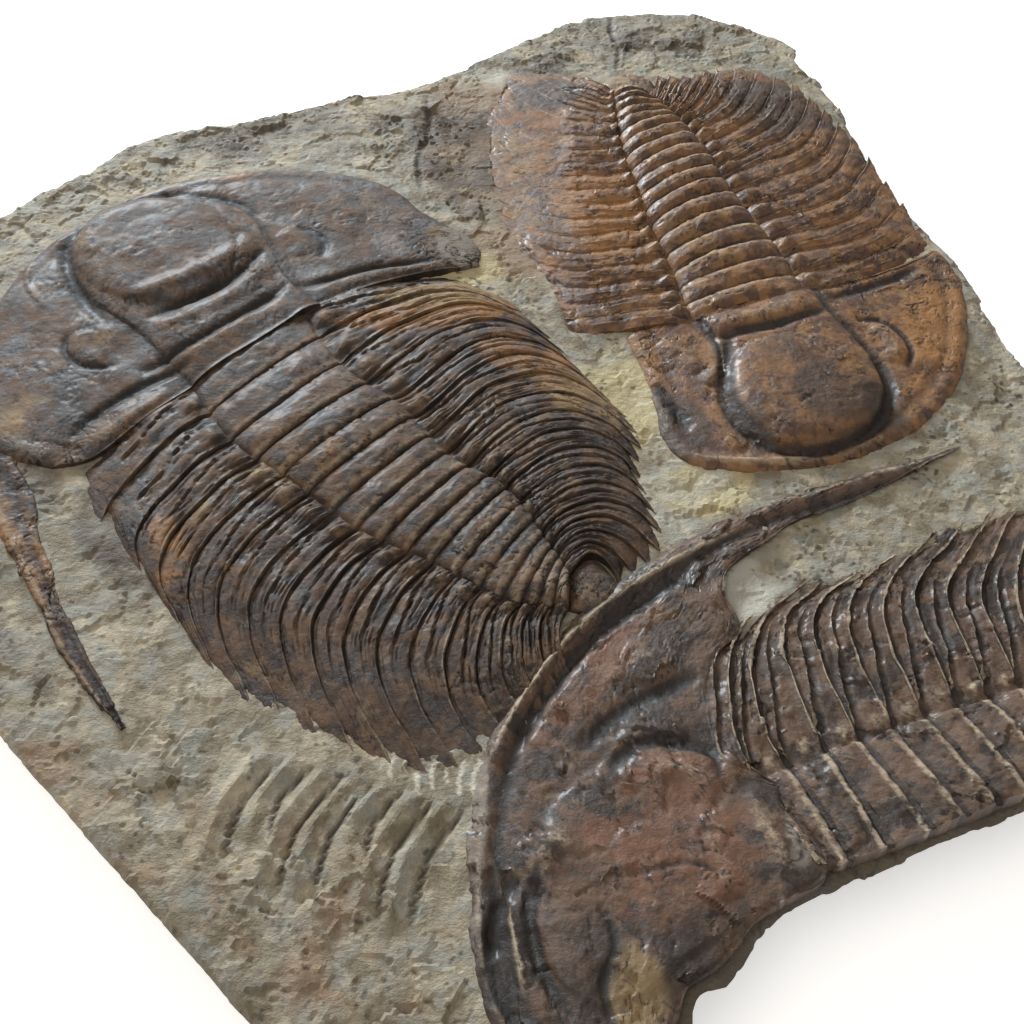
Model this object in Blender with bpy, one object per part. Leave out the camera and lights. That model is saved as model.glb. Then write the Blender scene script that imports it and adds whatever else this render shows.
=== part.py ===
"""Slab of grey-green siltstone with three large trilobites standing proud of its upper face.

Lengths are millimetres here and are scaled to metres when a mesh is made. X runs to the right, Y away
from the front edge and Z up. The origin is at the middle of the underside, on which the slab rests.
Trilobite A lies across the left half, B in the upper right corner and C along the lower right edge.
"""

import math

import bmesh
import bpy
import numpy as np

MM = 0.001

ROCK_TOP = 27.0
SWELL_HEIGHT = 0.72
SWELL_LENGTHS = (61.0, 74.0, 97.0)
SWELL_PHASE = 0.8
SLANT = 1.7
SLANTING_SHARE = 0.6
POCKET_FLOOR = 22.5
UNDERCUT = 18.0
GAP = 0.3
POCKET_ROOM = 0.45
CUTTER_TOP = 60.0
CORNER_STRETCH = 2.5
MERGE = 0.02

PLEURA_RISE = 3.6
PLEURA_ARCH = 0.75
FURROW_RISE = 3.0
AXIS_RISE = 8.0
TIP_RISE = 1.2
RING_STEP = 1.1
HEAD_EDGE_RISE = 2.2
CHEEK_RISE = 4.2
GLABELLA_RISE = 7.5
EYE_RISE = 2.6
RIM_WIDTH = 9.0
TAIL_RISE = 4.0
SPINE_RISE = 2.4

SLAB_OUTLINE = [
    (-216, 98), (-209, 110), (-191, 125), (-172, 150), (-149, 163), (-120, 170), (-90, 185), (-65, 196),
    (-44, 201), (-28, 211), (-9, 228), (10, 246), (33, 263), (56, 278), (73, 283), (94, 284), (115, 282),
    (132, 272), (149, 261), (163, 249), (167, 240), (165, 228), (170, 211), (179, 186), (182, 163),
    (185, 137), (187, 118), (194, 100), (201, 84), (208, 66), (212, 46), (213, 28), (219, -1), (232, -47),
    (243, -90), (254, -133), (252, -150), (210, -174), (165, -198), (147, -205), (117, -217), (90, -229),
    (81, -237), (77, -243), (72, -248), (64, -252), (61, -262), (52, -276), (33, -284), (-28, -284),
    (-55, -258), (-143, -175), (-231, -89), (-243, -66), (-254, -24), (-252, 22), (-237, 68),
]
SLAB_RINGS = ((1.0, 2.2), (0.985, 0.2), (0.9, 0.0), (0.72, 0.0), (0.48, 0.0), (0.24, 0.0))
SLAB_SIDE = ((1.0, 0.8), (0.5, 0.4), (0.0, 0.0))
SIDE_SMOOTHING = 8

A_LEFT = [
    (0, [(-112, -20), (-121, -30), (-129, -41), (-136, -51), (-143, -58), (-151, -62)]),
    (2, [(-91, -50), (-101, -61), (-109, -74), (-115, -87), (-117, -99), (-113, -110)]),
    (4, [(-69, -68), (-81, -80), (-90, -94), (-95, -110), (-93, -128), (-82, -149)]),
    (7, [(-40, -93), (-51, -105), (-59, -118), (-62, -134), (-58, -152), (-46, -173)]),
    (10, [(-13, -108), (-21, -119), (-27, -132), (-29, -146), (-24, -163), (-12, -184)]),
    (13, [(11, -123), (6, -131), (3, -140), (2, -151), (5, -162), (12, -172)]),
    (17, [(33, -127), (31, -131), (30, -136), (30, -141), (31, -146), (33, -150)]),
]
A_RIGHT = [
    (0, [(-74, 25), (-58, 33), (-44, 39), (-30, 44), (-15, 47), (2, 44)]),
    (2, [(-54, -9), (-40, 7), (-24, 20), (-5, 27), (14, 22), (30, 8)]),
    (4, [(-32, -29), (-19, -16), (-5, 0), (10, 6), (28, 1), (45, -17)]),
    (7, [(-10, -57), (2, -42), (14, -31), (30, -26), (46, -31), (60, -44)]),
    (10, [(12, -75), (20, -66), (31, -57), (44, -54), (54, -58), (60, -66)]),
    (13, [(25, -97), (29, -90), (36, -83), (46, -80), (57, -84), (66, -93)]),
    (17, [(33, -114), (37, -108), (41, -105), (45, -107), (48, -111), (50, -116)]),
]
B_LEFT = [
    (0, [(88, 15), (76, 13), (66, 12), (56, 11), (46, 10), (36, 10)]),
    (3, [(83, 47), (72, 42), (60, 40), (48, 38), (36, 40), (24, 48)]),
    (6, [(76, 80), (66, 76), (54, 74), (40, 74), (24, 80), (8, 94)]),
    (9, [(71, 112), (62, 109), (50, 107), (35, 108), (16, 116), (0, 132)]),
    (12, [(67, 143), (60, 141), (50, 140), (36, 142), (18, 154), (2, 178)]),
    (15, [(66, 172), (60, 173), (52, 176), (40, 184), (26, 198), (14, 216)]),
    (18, [(66, 194), (63, 197), (60, 200), (57, 204), (54, 208), (52, 213)]),
]
B_RIGHT = [
    (0, [(137, 33), (150, 38), (164, 44), (178, 51), (190, 59), (201, 67)]),
    (3, [(128, 70), (142, 74), (156, 80), (169, 88), (179, 96), (188, 106)]),
    (6, [(119, 100), (132, 106), (146, 113), (158, 122), (169, 134), (178, 148)]),
    (9, [(110, 130), (122, 137), (136, 145), (149, 158), (159, 176), (167, 198)]),
    (12, [(101, 157), (110, 163), (122, 172), (135, 186), (145, 204), (151, 226)]),
    (15, [(92, 176), (97, 182), (104, 190), (111, 200), (116, 211), (119, 224)]),
    (18, [(83, 188), (84, 192), (86, 197), (87, 202), (88, 207), (89, 213)]),
]
C_LEFT = [
    (0, [(86, -189), (76, -178), (72, -163), (74, -148), (82, -138), (94, -127)]),
    (2, [(109, -181), (101, -166), (98, -151), (99, -137), (106, -123), (116, -109)]),
    (4, [(133, -171), (125, -155), (121, -141), (124, -128), (134, -115), (148, -102)]),
    (7, [(165, -161), (157, -146), (153, -131), (156, -118), (166, -104), (182, -86)]),
    (10, [(194, -150), (187, -138), (184, -126), (187, -114), (196, -100), (212, -82)]),
    (14, [(221, -136), (217, -129), (216, -120), (219, -111), (226, -101), (236, -92)]),
    (18, [(237, -127), (237, -124), (238, -121), (240, -118), (242, -116), (244, -113)]),
]
C_CUT = [
    (0, [(101, -217)]), (2, [(121, -212)]), (4, [(141, -204)]), (7, [(171, -192)]),
    (10, [(200, -176)]), (14, [(227, -161)]), (18, [(243, -151)]),
]

HEAD_A_FRONT = [
    (-156, -62), (-178, -55), (-192, -38), (-201, -12), (-204, 18), (-200, 46), (-193, 66), (-184, 80),
    (-173, 95), (-158, 107), (-140, 117), (-115, 124), (-90, 127), (-68, 124), (-50, 117), (-38, 108),
    (-28, 95), (-17, 80), (-6, 67), (3, 56),
]
HEAD_A_BACK = [
    (-156, -62), (-146, -60), (-139, -55), (-132, -45), (-124, -34), (-112, -20), (-102, -8), (-90, 4),
    (-78, 17), (-72, 24), (-62, 31), (-50, 38), (-38, 43), (-22, 48), (-8, 53), (3, 56),
]
HEAD_B_FRONT = [
    (60, 8), (66, -4), (71, -18), (75, -34), (69, -46), (70, -57), (82, -63), (100, -65), (120, -64),
    (136, -60), (152, -53), (166, -45), (179, -33), (190, -18), (198, 0), (204, 22), (207, 44), (205, 60),
    (202, 67),
]
HEAD_B_BACK = [
    (60, 8), (74, 12), (88, 15), (100, 17), (112, 22), (124, 28), (137, 33), (150, 38), (164, 44),
    (178, 51), (190, 59), (202, 67),
]
HEAD_C_FRONT = [
    (40, -276), (22, -272), (10, -262), (4, -246), (1, -228), (1, -205), (3, -188), (8, -171), (18, -152),
    (30, -135), (44, -119), (60, -106), (78, -94), (98, -83), (120, -74), (142, -65), (163, -58), (183, -50),
]
HEAD_C_BACK = [
    (40, -276), (50, -269), (56, -259), (60, -250), (68, -245), (74, -239), (80, -232), (92, -225),
    (101, -219), (98, -204), (93, -192), (86, -189), (78, -182), (73, -168), (72, -156), (76, -144),
    (84, -134), (82, -122), (86, -111), (98, -101), (114, -89), (132, -80), (152, -70), (168, -60),
    (183, -50),
]
GLABELLA_A = [
    (-112, -20), (-134, 6), (-150, 20), (-166, 35), (-178, 60), (-177, 76), (-170, 90), (-158, 98),
    (-144, 100), (-128, 98), (-112, 94), (-102, 86), (-95, 72), (-88, 58), (-82, 44), (-74, 25),
]
GLABELLA_B = [
    (88, 15), (96, 2), (97, -14), (96, -30), (100, -44), (110, -54), (124, -57), (140, -52), (153, -40),
    (159, -24), (158, -8), (152, 6), (145, 20), (137, 33),
]
GLABELLA_C = [
    (86, -189), (76, -180), (62, -172), (48, -172), (42, -182), (30, -192), (21, -206), (18, -224),
    (22, -242), (34, -254), (50, -252), (62, -242), (80, -232), (98, -219),
]
EYES = {"a": ((-155, 2), (-76, 68)), "b": ((164, 5),), "c": ((56, -146),)}
EYE_RADIUS = 11.0
GLABELLA_SHOULDER = 24.0

TAIL_A = [(33, -127), (33, -114), (37, -108), (41, -105), (45, -107), (48, -111), (51, -119), (43, -129)]
TAIL_B = [
    (66, 193), (61, 199), (60, 206), (64, 213), (72, 215), (80, 213), (86, 207), (87, 198), (83, 189),
    (75, 188),
]
TAIL_C = [(237, -127), (244, -125), (248, -131), (249, -139), (248, -146), (243, -150), (240, -139)]

SPINE_A = [(-181, -57), (-171, -72), (-160, -92), (-148, -112), (-133, -137), (-118, -157), (-106, -172)]
SPINE_A_HALF_WIDTHS = [7.0, 6.5, 5.6, 5.0, 4.0, 3.0, 1.2]

THORAX_SIDES = {"a": (A_LEFT, A_RIGHT), "b": (B_LEFT, B_RIGHT), "c": (C_LEFT, C_CUT)}
HEADS = {
    "a": (HEAD_A_FRONT, HEAD_A_BACK, GLABELLA_A),
    "b": (HEAD_B_FRONT, HEAD_B_BACK, GLABELLA_B),
    "c": (HEAD_C_FRONT, HEAD_C_BACK, GLABELLA_C),
}
TAILS = {"a": TAIL_A, "b": TAIL_B, "c": TAIL_C}
RINGS = {"a": 17, "b": 18, "c": 18}
AXIS_HALF = 0.3
RING_ROWS = 2
PLEURA_COLUMNS = 6
AXIS_COLUMNS = 4
HEAD_COLUMNS = 34
HEAD_ROWS = 9
OUTLINE_POINTS = 64
SAMPLES_PER_POINT = 40
TAIL_POINTS = 24
TAIL_ROWS = 3
SPINE_STEPS = 14
SPINE_ROWS = 4

COLOURS = {
    "matrix": (0.20, 0.19, 0.15, 1.0),
    "a": (0.10, 0.065, 0.05, 1.0),
    "b": (0.19, 0.085, 0.035, 1.0),
    "c": (0.13, 0.06, 0.042, 1.0),
}
ROUGHNESS = {"matrix": 0.85, "a": 0.38, "b": 0.4, "c": 0.4}


def spline(knots, points, at):
    """Smooth curve through points placed at the knots, read at the given places."""
    knots = np.asarray(knots, float)
    points = np.asarray(points, float)
    at = np.clip(np.asarray(at, float), knots[0], knots[-1])
    wide = (-1,) + (1,) * (points.ndim - 1)
    step = np.diff(knots)
    slope = np.diff(points, axis=0) / step.reshape(wide)
    tangent = np.empty_like(points)
    tangent[0], tangent[-1] = slope[0], slope[-1]
    after, before = step[1:].reshape(wide), step[:-1].reshape(wide)
    tangent[1:-1] = (after * slope[:-1] + before * slope[1:]) / (before + after)
    i = np.clip(np.searchsorted(knots, at, side="right") - 1, 0, len(knots) - 2)
    h = step[i].reshape(wide)
    u = ((at - knots[i]) / step[i]).reshape(wide)
    return (
        (2 * u**3 - 3 * u**2 + 1) * points[i]
        + (u**3 - 2 * u**2 + u) * h * tangent[i]
        + (3 * u**2 - 2 * u**3) * points[i + 1]
        + (u**3 - u**2) * h * tangent[i + 1]
    )


def even(points, count):
    """The smooth curve through points, as count points evenly spaced along it."""
    points = np.asarray(points, float)
    samples = np.linspace(0, len(points) - 1, SAMPLES_PER_POINT * len(points))
    fine = spline(np.arange(len(points)), points, samples)
    along = np.concatenate([[0.0], np.cumsum(np.linalg.norm(np.diff(fine, axis=0), axis=1))])
    wanted = np.linspace(0, along[-1], count)
    return np.stack([np.interp(wanted, along, fine[:, k]) for k in range(2)], axis=1)


def pleural_line(table, segment, across):
    """Points along the furrow in front of a segment, from the axial furrow (0) to the tip (1)."""
    knots = [key for key, _ in table]
    row = spline(knots, [points for _, points in table], [segment])[0]
    if len(row) == 1:
        return np.repeat(row, len(across), axis=0)
    return spline(np.linspace(0, 1, len(row)), row, across)


def rock_level(x, y):
    """The rock's upper face, which swells and dips gently."""
    across, along, slanting = SWELL_LENGTHS
    swell = math.sin(x / across + SWELL_PHASE) * math.cos(y / along)
    swell += SLANTING_SHARE * math.sin((x + SLANT * y) / slanting)
    return ROCK_TOP + SWELL_HEIGHT * swell


def signed_area(points):
    x, y = np.asarray(points, float).T
    return 0.5 * float(np.sum(x * np.roll(y, -1) - np.roll(x, -1) * y))


def grown(points, by):
    """A closed outline moved outwards by a distance, with its corners kept from running away."""
    points = np.asarray(points, float)
    if signed_area(points) < 0:
        points = points[::-1]
    ahead = np.roll(points, -1, axis=0) - points
    ahead /= np.linalg.norm(ahead, axis=1, keepdims=True)
    behind = np.roll(ahead, 1, axis=0)
    outward = np.stack([ahead[:, 1] + behind[:, 1], -ahead[:, 0] - behind[:, 0]], axis=1)
    size = np.linalg.norm(outward, axis=1, keepdims=True)
    outward /= np.maximum(size, 1e-6)
    stretch = np.minimum(2.0 / np.maximum(size, 1e-6), CORNER_STRETCH)
    return points + outward * by * stretch


def distance_inside(outline, x, y):
    """How far a place lies inside a closed outline; negative outside it."""
    a = np.asarray(outline, float)
    b = np.roll(a, -1, axis=0)
    p = np.array([x, y])
    along = np.clip(np.sum((p - a) * (b - a), axis=1) / np.sum((b - a) ** 2, axis=1), 0, 1)
    nearest = a + (b - a) * along[:, None]
    reach = float(np.min(np.linalg.norm(p - nearest, axis=1)))
    crosses = (a[:, 1] > y) != (b[:, 1] > y)
    climb = np.where(b[:, 1] == a[:, 1], 1.0, b[:, 1] - a[:, 1])
    beyond = x < a[:, 0] + (y - a[:, 1]) / climb * (b[:, 0] - a[:, 0])
    return reach if np.count_nonzero(crosses & beyond) % 2 else -reach


def dome(value, width):
    """Rises from 0 at an edge to 1 at a distance inside it, round at the top."""
    u = min(max(value / width, 0.0), 1.0)
    return math.sqrt(u * (2.0 - u))


def finish_mesh(bm, name, collection, material=None):
    bmesh.ops.recalc_face_normals(bm, faces=bm.faces)
    bmesh.ops.scale(bm, vec=(MM, MM, MM), verts=bm.verts)
    mesh = bpy.data.meshes.new(name)
    bm.to_mesh(mesh)
    bm.free()
    obj = bpy.data.objects.new(name, mesh)
    if material:
        mesh.materials.append(material)
    collection.objects.link(obj)
    return obj


def relief_solid(name, columns, rows, place, collection, material):
    """A closed solid whose upper face is a grid moved onto place(u, v), with a flat bottom in its pocket."""
    bm = bmesh.new()
    bmesh.ops.create_grid(bm, x_segments=columns, y_segments=rows, size=0.5)
    for vertex in bm.verts:
        vertex.co = place(vertex.co.x + 0.5, vertex.co.y + 0.5)
    bmesh.ops.remove_doubles(bm, verts=bm.verts, dist=MERGE)
    bmesh.ops.dissolve_degenerate(bm, edges=bm.edges, dist=MERGE)
    rim = [edge for edge in bm.edges if edge.is_boundary]
    extruded = bmesh.ops.extrude_edge_only(bm, edges=rim)["geom"]
    for vertex in (item for item in extruded if isinstance(item, bmesh.types.BMVert)):
        vertex.co.z = POCKET_FLOOR + GAP
    bottom = [item for item in extruded if isinstance(item, bmesh.types.BMEdge) and item.is_boundary]
    bmesh.ops.triangle_fill(bm, edges=bottom, use_beauty=True)
    return finish_mesh(bm, name, collection, material)


def prism(name, outline, low, high, collection):
    """An upright solid over a closed outline, used as a cutter."""
    bm = bmesh.new()
    face = bm.faces.new([bm.verts.new((x, y, low)) for x, y in outline])
    raised = bmesh.ops.extrude_face_region(bm, geom=[face])["geom"]
    for vertex in (item for item in raised if isinstance(item, bmesh.types.BMVert)):
        vertex.co.z = high
    obj = finish_mesh(bm, name, collection)
    obj.hide_render = True
    obj.display_type = "WIRE"
    return obj


def cut(target, cutter):
    modifier = target.modifiers.new("Less " + cutter.name, "BOOLEAN")
    modifier.operation = "DIFFERENCE"
    modifier.solver = "EXACT"
    modifier.object = cutter


def thorax_row(trilobite, segment, across):
    """A place on a thorax: across is -1 at the left tips, 1 at the right ones, AXIS_HALF at the furrows."""
    left, right = THORAX_SIDES[trilobite]
    if across <= -AXIS_HALF:
        return pleural_line(left, segment, [(-across - AXIS_HALF) / (1 - AXIS_HALF)])[0]
    if across >= AXIS_HALF:
        return pleural_line(right, segment, [(across - AXIS_HALF) / (1 - AXIS_HALF)])[0]
    start = pleural_line(left, segment, [0.0])[0]
    end = pleural_line(right, segment, [0.0])[0]
    share = (across / AXIS_HALF + 1) / 2
    return start + (end - start) * share


def thorax_height(trilobite, segment, across, x, y):
    """Vaulted axial rings between two furrows, and flatter pleurae falling to their tips."""
    crest = 0.5 - 0.5 * math.cos(2 * math.pi * segment)
    if abs(across) <= AXIS_HALF:
        crown, reach = (AXIS_HALF, 2 * AXIS_HALF) if trilobite == "c" else (0.0, AXIS_HALF)
        arch = math.sqrt(max(0.0, 1 - ((across - crown) / reach) ** 2))
        rise = FURROW_RISE + (AXIS_RISE - FURROW_RISE + RING_STEP * crest) * arch
    else:
        inward = 1 - (abs(across) - AXIS_HALF) / (1 - AXIS_HALF)
        arch = math.sin(PLEURA_ARCH * math.pi * inward)
        rise = TIP_RISE + (PLEURA_RISE - TIP_RISE) * arch + (FURROW_RISE - TIP_RISE) * inward**2
        rise += RING_STEP * crest * inward
    return rock_level(x, y) + rise


def thorax(trilobite, collection, material):
    rings = RINGS[trilobite]
    whole = trilobite != "c"
    stations = np.concatenate([
        np.linspace(-1, -AXIS_HALF, PLEURA_COLUMNS + 1),
        np.linspace(-AXIS_HALF, AXIS_HALF, AXIS_COLUMNS + 1)[1:],
        np.linspace(AXIS_HALF, 1, PLEURA_COLUMNS + 1)[1:] if whole else [],
    ])

    def place(u, v):
        across = stations[round(u * (len(stations) - 1))]
        segment = v * rings
        x, y = thorax_row(trilobite, segment, across)
        return x, y, thorax_height(trilobite, segment, across, x, y)

    name, columns = "thorax_" + trilobite, len(stations) - 1
    solid = relief_solid(name, columns, RING_ROWS * rings, place, collection, material)
    tips = [thorax_row(trilobite, n, -1) for n in np.linspace(0, rings, 2 * rings + 1)]
    far = [thorax_row(trilobite, n, stations[-1]) for n in np.linspace(rings, 0, 2 * rings + 1)]
    back = [thorax_row(trilobite, rings, across) for across in stations[1:-1]]
    front = [thorax_row(trilobite, 0, across) for across in stations[-2:0:-1]]
    return solid, tips + back + far + front


def head(trilobite, collection, material):
    """The head shield: a rim, vaulted cheeks, the swollen glabella and the raised eye lobes."""
    front, back, glabella = HEADS[trilobite]
    front_points = even(front, HEAD_COLUMNS + 1)
    back_points = even(back, HEAD_COLUMNS + 1)
    outline = np.concatenate([front_points, back_points[-2:0:-1]])
    swelling = even(glabella + glabella[:1], OUTLINE_POINTS)[:-1]

    def place(u, v):
        i = round(u * HEAD_COLUMNS)
        x, y = back_points[i] * (1 - v) + front_points[i] * v
        cheek = dome(distance_inside(outline, x, y), RIM_WIDTH)
        rise = HEAD_EDGE_RISE + (CHEEK_RISE - HEAD_EDGE_RISE) * cheek
        rise += GLABELLA_RISE * dome(distance_inside(swelling, x, y), GLABELLA_SHOULDER)
        for eye_x, eye_y in EYES[trilobite]:
            rise += EYE_RISE * dome(EYE_RADIUS - math.hypot(x - eye_x, y - eye_y), EYE_RADIUS)
        return x, y, rock_level(x, y) + rise

    name = "head_shield_" + trilobite
    return relief_solid(name, HEAD_COLUMNS, HEAD_ROWS, place, collection, material), outline


def tail(trilobite, collection, material):
    """The small tail shield, domed over its own middle."""
    outline = TAILS[trilobite]
    rim = even(outline + outline[:1], TAIL_POINTS + 1)[:-1]
    middle = rim.mean(axis=0)

    def place(u, v):
        edge = rim[round(u * len(rim)) % len(rim)]
        x, y = middle + (edge - middle) * v
        return x, y, rock_level(x, y) + HEAD_EDGE_RISE + (TAIL_RISE - HEAD_EDGE_RISE) * (1 - v * v)

    return relief_solid("tail_shield_" + trilobite, len(rim), TAIL_ROWS, place, collection, material), rim


def cheek_spine(collection, material):
    """The long left cheek spine of trilobite A, tapering to its tip."""
    middle = even(SPINE_A, SPINE_STEPS + 1)
    traced = np.linspace(0, 1, len(SPINE_A))
    widths = np.interp(np.linspace(0, 1, SPINE_STEPS + 1), traced, SPINE_A_HALF_WIDTHS)
    ahead = np.gradient(middle, axis=0)
    ahead /= np.linalg.norm(ahead, axis=1, keepdims=True)
    side = np.stack([-ahead[:, 1], ahead[:, 0]], axis=1) * widths[:, None]

    def place(u, v):
        i = round(u * SPINE_STEPS)
        x, y = middle[i] + side[i] * (2 * v - 1)
        return x, y, rock_level(x, y) + TIP_RISE + (SPINE_RISE - TIP_RISE) * (1 - (2 * v - 1) ** 2)

    outline = np.concatenate([middle + side, (middle - side)[::-1]])
    return relief_solid("cheek_spine_a", SPINE_STEPS, SPINE_ROWS, place, collection, material), outline


def slab(collection, material):
    """The rock: a flat underside, rough sides that slope in towards it, and a gently uneven top."""
    outline = np.asarray(SLAB_OUTLINE, float)
    if signed_area(outline) < 0:
        outline = outline[::-1]
    inward = outline - grown(outline, 1.0)
    inward /= np.linalg.norm(inward, axis=1, keepdims=True)
    for _ in range(SIDE_SMOOTHING):
        inward = np.roll(inward, 1, axis=0) + 2 * inward + np.roll(inward, -1, axis=0)
        inward /= np.linalg.norm(inward, axis=1, keepdims=True)
    foot = outline + inward * UNDERCUT
    bm = bmesh.new()
    rings = []
    for share, level in reversed(SLAB_SIDE):
        ring = foot + (outline - foot) * share
        rings.append([bm.verts.new((x, y, ROCK_TOP * level)) for x, y in ring])
    for scale, drop in SLAB_RINGS:
        rings.append([bm.verts.new((x, y, rock_level(x, y) - drop)) for x, y in outline * scale])
    for lower, upper in zip(rings, rings[1:]):
        for i in range(len(lower)):
            j = (i + 1) % len(lower)
            bm.faces.new((lower[i], lower[j], upper[j], upper[i]))
    centre = bm.verts.new((0, 0, rock_level(0, 0)))
    for i, vertex in enumerate(rings[-1]):
        bm.faces.new((vertex, rings[-1][(i + 1) % len(rings[-1])], centre))
    bm.faces.new(rings[0])
    return finish_mesh(bm, "matrix_slab", collection, material)


def shell_material(name):
    material = bpy.data.materials.new("Finish " + name)
    material.use_nodes = True
    shader = material.node_tree.nodes["Principled BSDF"]
    shader.inputs["Base Color"].default_value = COLOURS[name]
    shader.inputs["Roughness"].default_value = ROUGHNESS[name]
    shader.inputs["Metallic"].default_value = 0.0
    return material


def new_collection(name):
    collection = bpy.data.collections.new(name)
    bpy.context.scene.collection.children.link(collection)
    return collection


def main():
    for obj in list(bpy.data.objects):
        bpy.data.objects.remove(obj, do_unlink=True)
    parts = new_collection("Trilobite slab")
    cutters = new_collection("Cutters")

    rock = slab(parts, shell_material("matrix"))
    solids, pockets = {}, {}

    def keep(solid, outline):
        room = grown(outline, POCKET_ROOM)
        solids[solid.name] = solid
        pockets[solid.name] = prism("pocket_" + solid.name, room, POCKET_FLOOR, CUTTER_TOP, cutters)

    for trilobite in "abc":
        shell = shell_material(trilobite)
        keep(*head(trilobite, parts, shell))
        keep(*thorax(trilobite, parts, shell))
        keep(*tail(trilobite, parts, shell))
        if trilobite == "a":
            keep(*cheek_spine(parts, shell))
        cut(solids["thorax_" + trilobite], pockets["head_shield_" + trilobite])
        cut(solids["tail_shield_" + trilobite], pockets["thorax_" + trilobite])
    cut(solids["cheek_spine_a"], pockets["head_shield_a"])
    for name in ("thorax_a", "tail_shield_a"):
        cut(solids[name], pockets["head_shield_c"])
    for pocket in pockets.values():
        cut(rock, pocket)


main()
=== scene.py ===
"""Looks of the trilobite slab: rough siltstone with three ribbed, varnished fossils standing in relief.

Plan lengths and heights are millimetres, as in the solid model, and become metres when a mesh is made.
X runs to the right, Y away from the front edge and Z up. Each piece is one closed mesh whose plan is traced
in the tables below, whose broad shape comes from the functions after them, and whose ribs and roughness are
added by Geometry Nodes. The attributes that these leave on a mesh tell its material where furrows, crests
and stains lie. The material paints shade into the furrows, a highlight on raised bumps, and pale wear with a
painted highlight on the crests.
"""

import math

import bmesh
import bpy
import numpy as np
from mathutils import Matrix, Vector
from mathutils.geometry import delaunay_2d_cdt


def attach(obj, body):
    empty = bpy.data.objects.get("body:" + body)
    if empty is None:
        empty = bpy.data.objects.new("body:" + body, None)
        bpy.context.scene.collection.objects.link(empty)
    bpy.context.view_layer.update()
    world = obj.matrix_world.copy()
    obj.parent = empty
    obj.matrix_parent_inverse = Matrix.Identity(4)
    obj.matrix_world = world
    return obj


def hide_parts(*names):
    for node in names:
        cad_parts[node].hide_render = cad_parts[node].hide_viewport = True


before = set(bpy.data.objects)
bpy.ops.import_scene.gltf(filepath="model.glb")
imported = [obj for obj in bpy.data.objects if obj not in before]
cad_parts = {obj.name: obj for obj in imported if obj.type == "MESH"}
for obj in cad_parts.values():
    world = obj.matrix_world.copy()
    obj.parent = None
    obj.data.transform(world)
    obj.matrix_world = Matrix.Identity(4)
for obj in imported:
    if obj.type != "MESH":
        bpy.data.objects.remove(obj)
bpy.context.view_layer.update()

MM = 0.001

# The rock's gently swelling upper face, and the pockets that the fossils lie in
ROCK_TOP = 27.0
SWELL_HEIGHT = 0.72
SWELL_LENGTHS = (61.0, 74.0, 97.0)
SWELL_PHASE = 0.8
SLANT = 1.7
SLANTING_SHARE = 0.6
POCKET_FLOOR = 22.5
POCKET_REACH = 4.0
POCKET_SLOPE = 2.5
GAP = 0.3

# The rock's broken sides, which lean inwards to the underside
UNDERCUT = 18.0
LEDGE = 1.6
SIDE_SMOOTHING = 320
SIDE_ROWS = 12
EDGE_DROP = 2.4
EDGE_DROP_WIDTH = 5.0
EDGE_TRIM = 0.75
EDGE_TRIM_WIDTH = 9.0

# How finely the pieces are divided
ROCK_SPACING = 1.35
HIDDEN_SPACING = 11.0
OUTLINE_SPACING = 1.4
OUTLINE_LENGTH = 1750
COARSE_POINTS = 200
LATTICE_HALF = (260, 290)
FAR = 12.0
CURVE_SAMPLES = 40
STROKE_POINTS = 14
HEAD_GRID = (340, 120)
TAIL_GRID = (80, 50)
SPINE_GRID = (240, 30)
SPINE_POINTS = 60
MERGED = 0.004 * MM
SLIVER = 0.002 * MM

# Parts of a segment that have a row of points, denser at its edges, and the columns of a thorax
RING_FRACTIONS = (0.0, 0.02, 0.045, 0.08, 0.12, 0.17, 0.23, 0.29, 0.35, 0.41, 0.47, 0.53, 0.59, 0.65, 0.71,
                  0.77, 0.83, 0.89, 0.94, 0.975)
PLEURA_COLUMNS = 96
AXIS_COLUMNS = 56
AXIS_HALF = 0.3
RINGS = {"a": 17, "b": 18, "c": 18}

# Heads: the share that laps under the thorax, and the places and widths of the rim and its groove
HEAD_LAP = 0.02
RIM = (4.0, 2.6)
RIM_GROOVE = (9.5, 2.4)
BROAD = 2.2
FRONT_SINK = 1.6
STAIN_EDGE = (-0.35, 0.6)

SLAB_OUTLINE = [
    (-216, 98), (-209, 110), (-191, 125), (-172, 150), (-149, 163), (-120, 170), (-90, 185), (-65, 196),
    (-44, 201), (-28, 211), (-9, 228), (10, 246), (33, 263), (56, 278), (73, 283), (94, 284), (115, 282),
    (132, 272), (149, 261), (163, 249), (167, 240), (165, 228), (170, 211), (179, 186), (182, 163),
    (185, 137), (187, 118), (194, 100), (201, 84), (208, 66), (212, 46), (213, 28), (219, -1), (232, -47),
    (243, -90), (254, -133), (252, -150), (210, -174), (165, -198), (147, -205), (117, -217), (90, -229),
    (81, -237), (77, -243), (72, -248), (64, -252), (61, -262), (52, -276), (33, -284), (-28, -284),
    (-55, -258), (-143, -175), (-231, -89), (-243, -66), (-254, -24), (-252, 22), (-237, 68),
]

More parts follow.
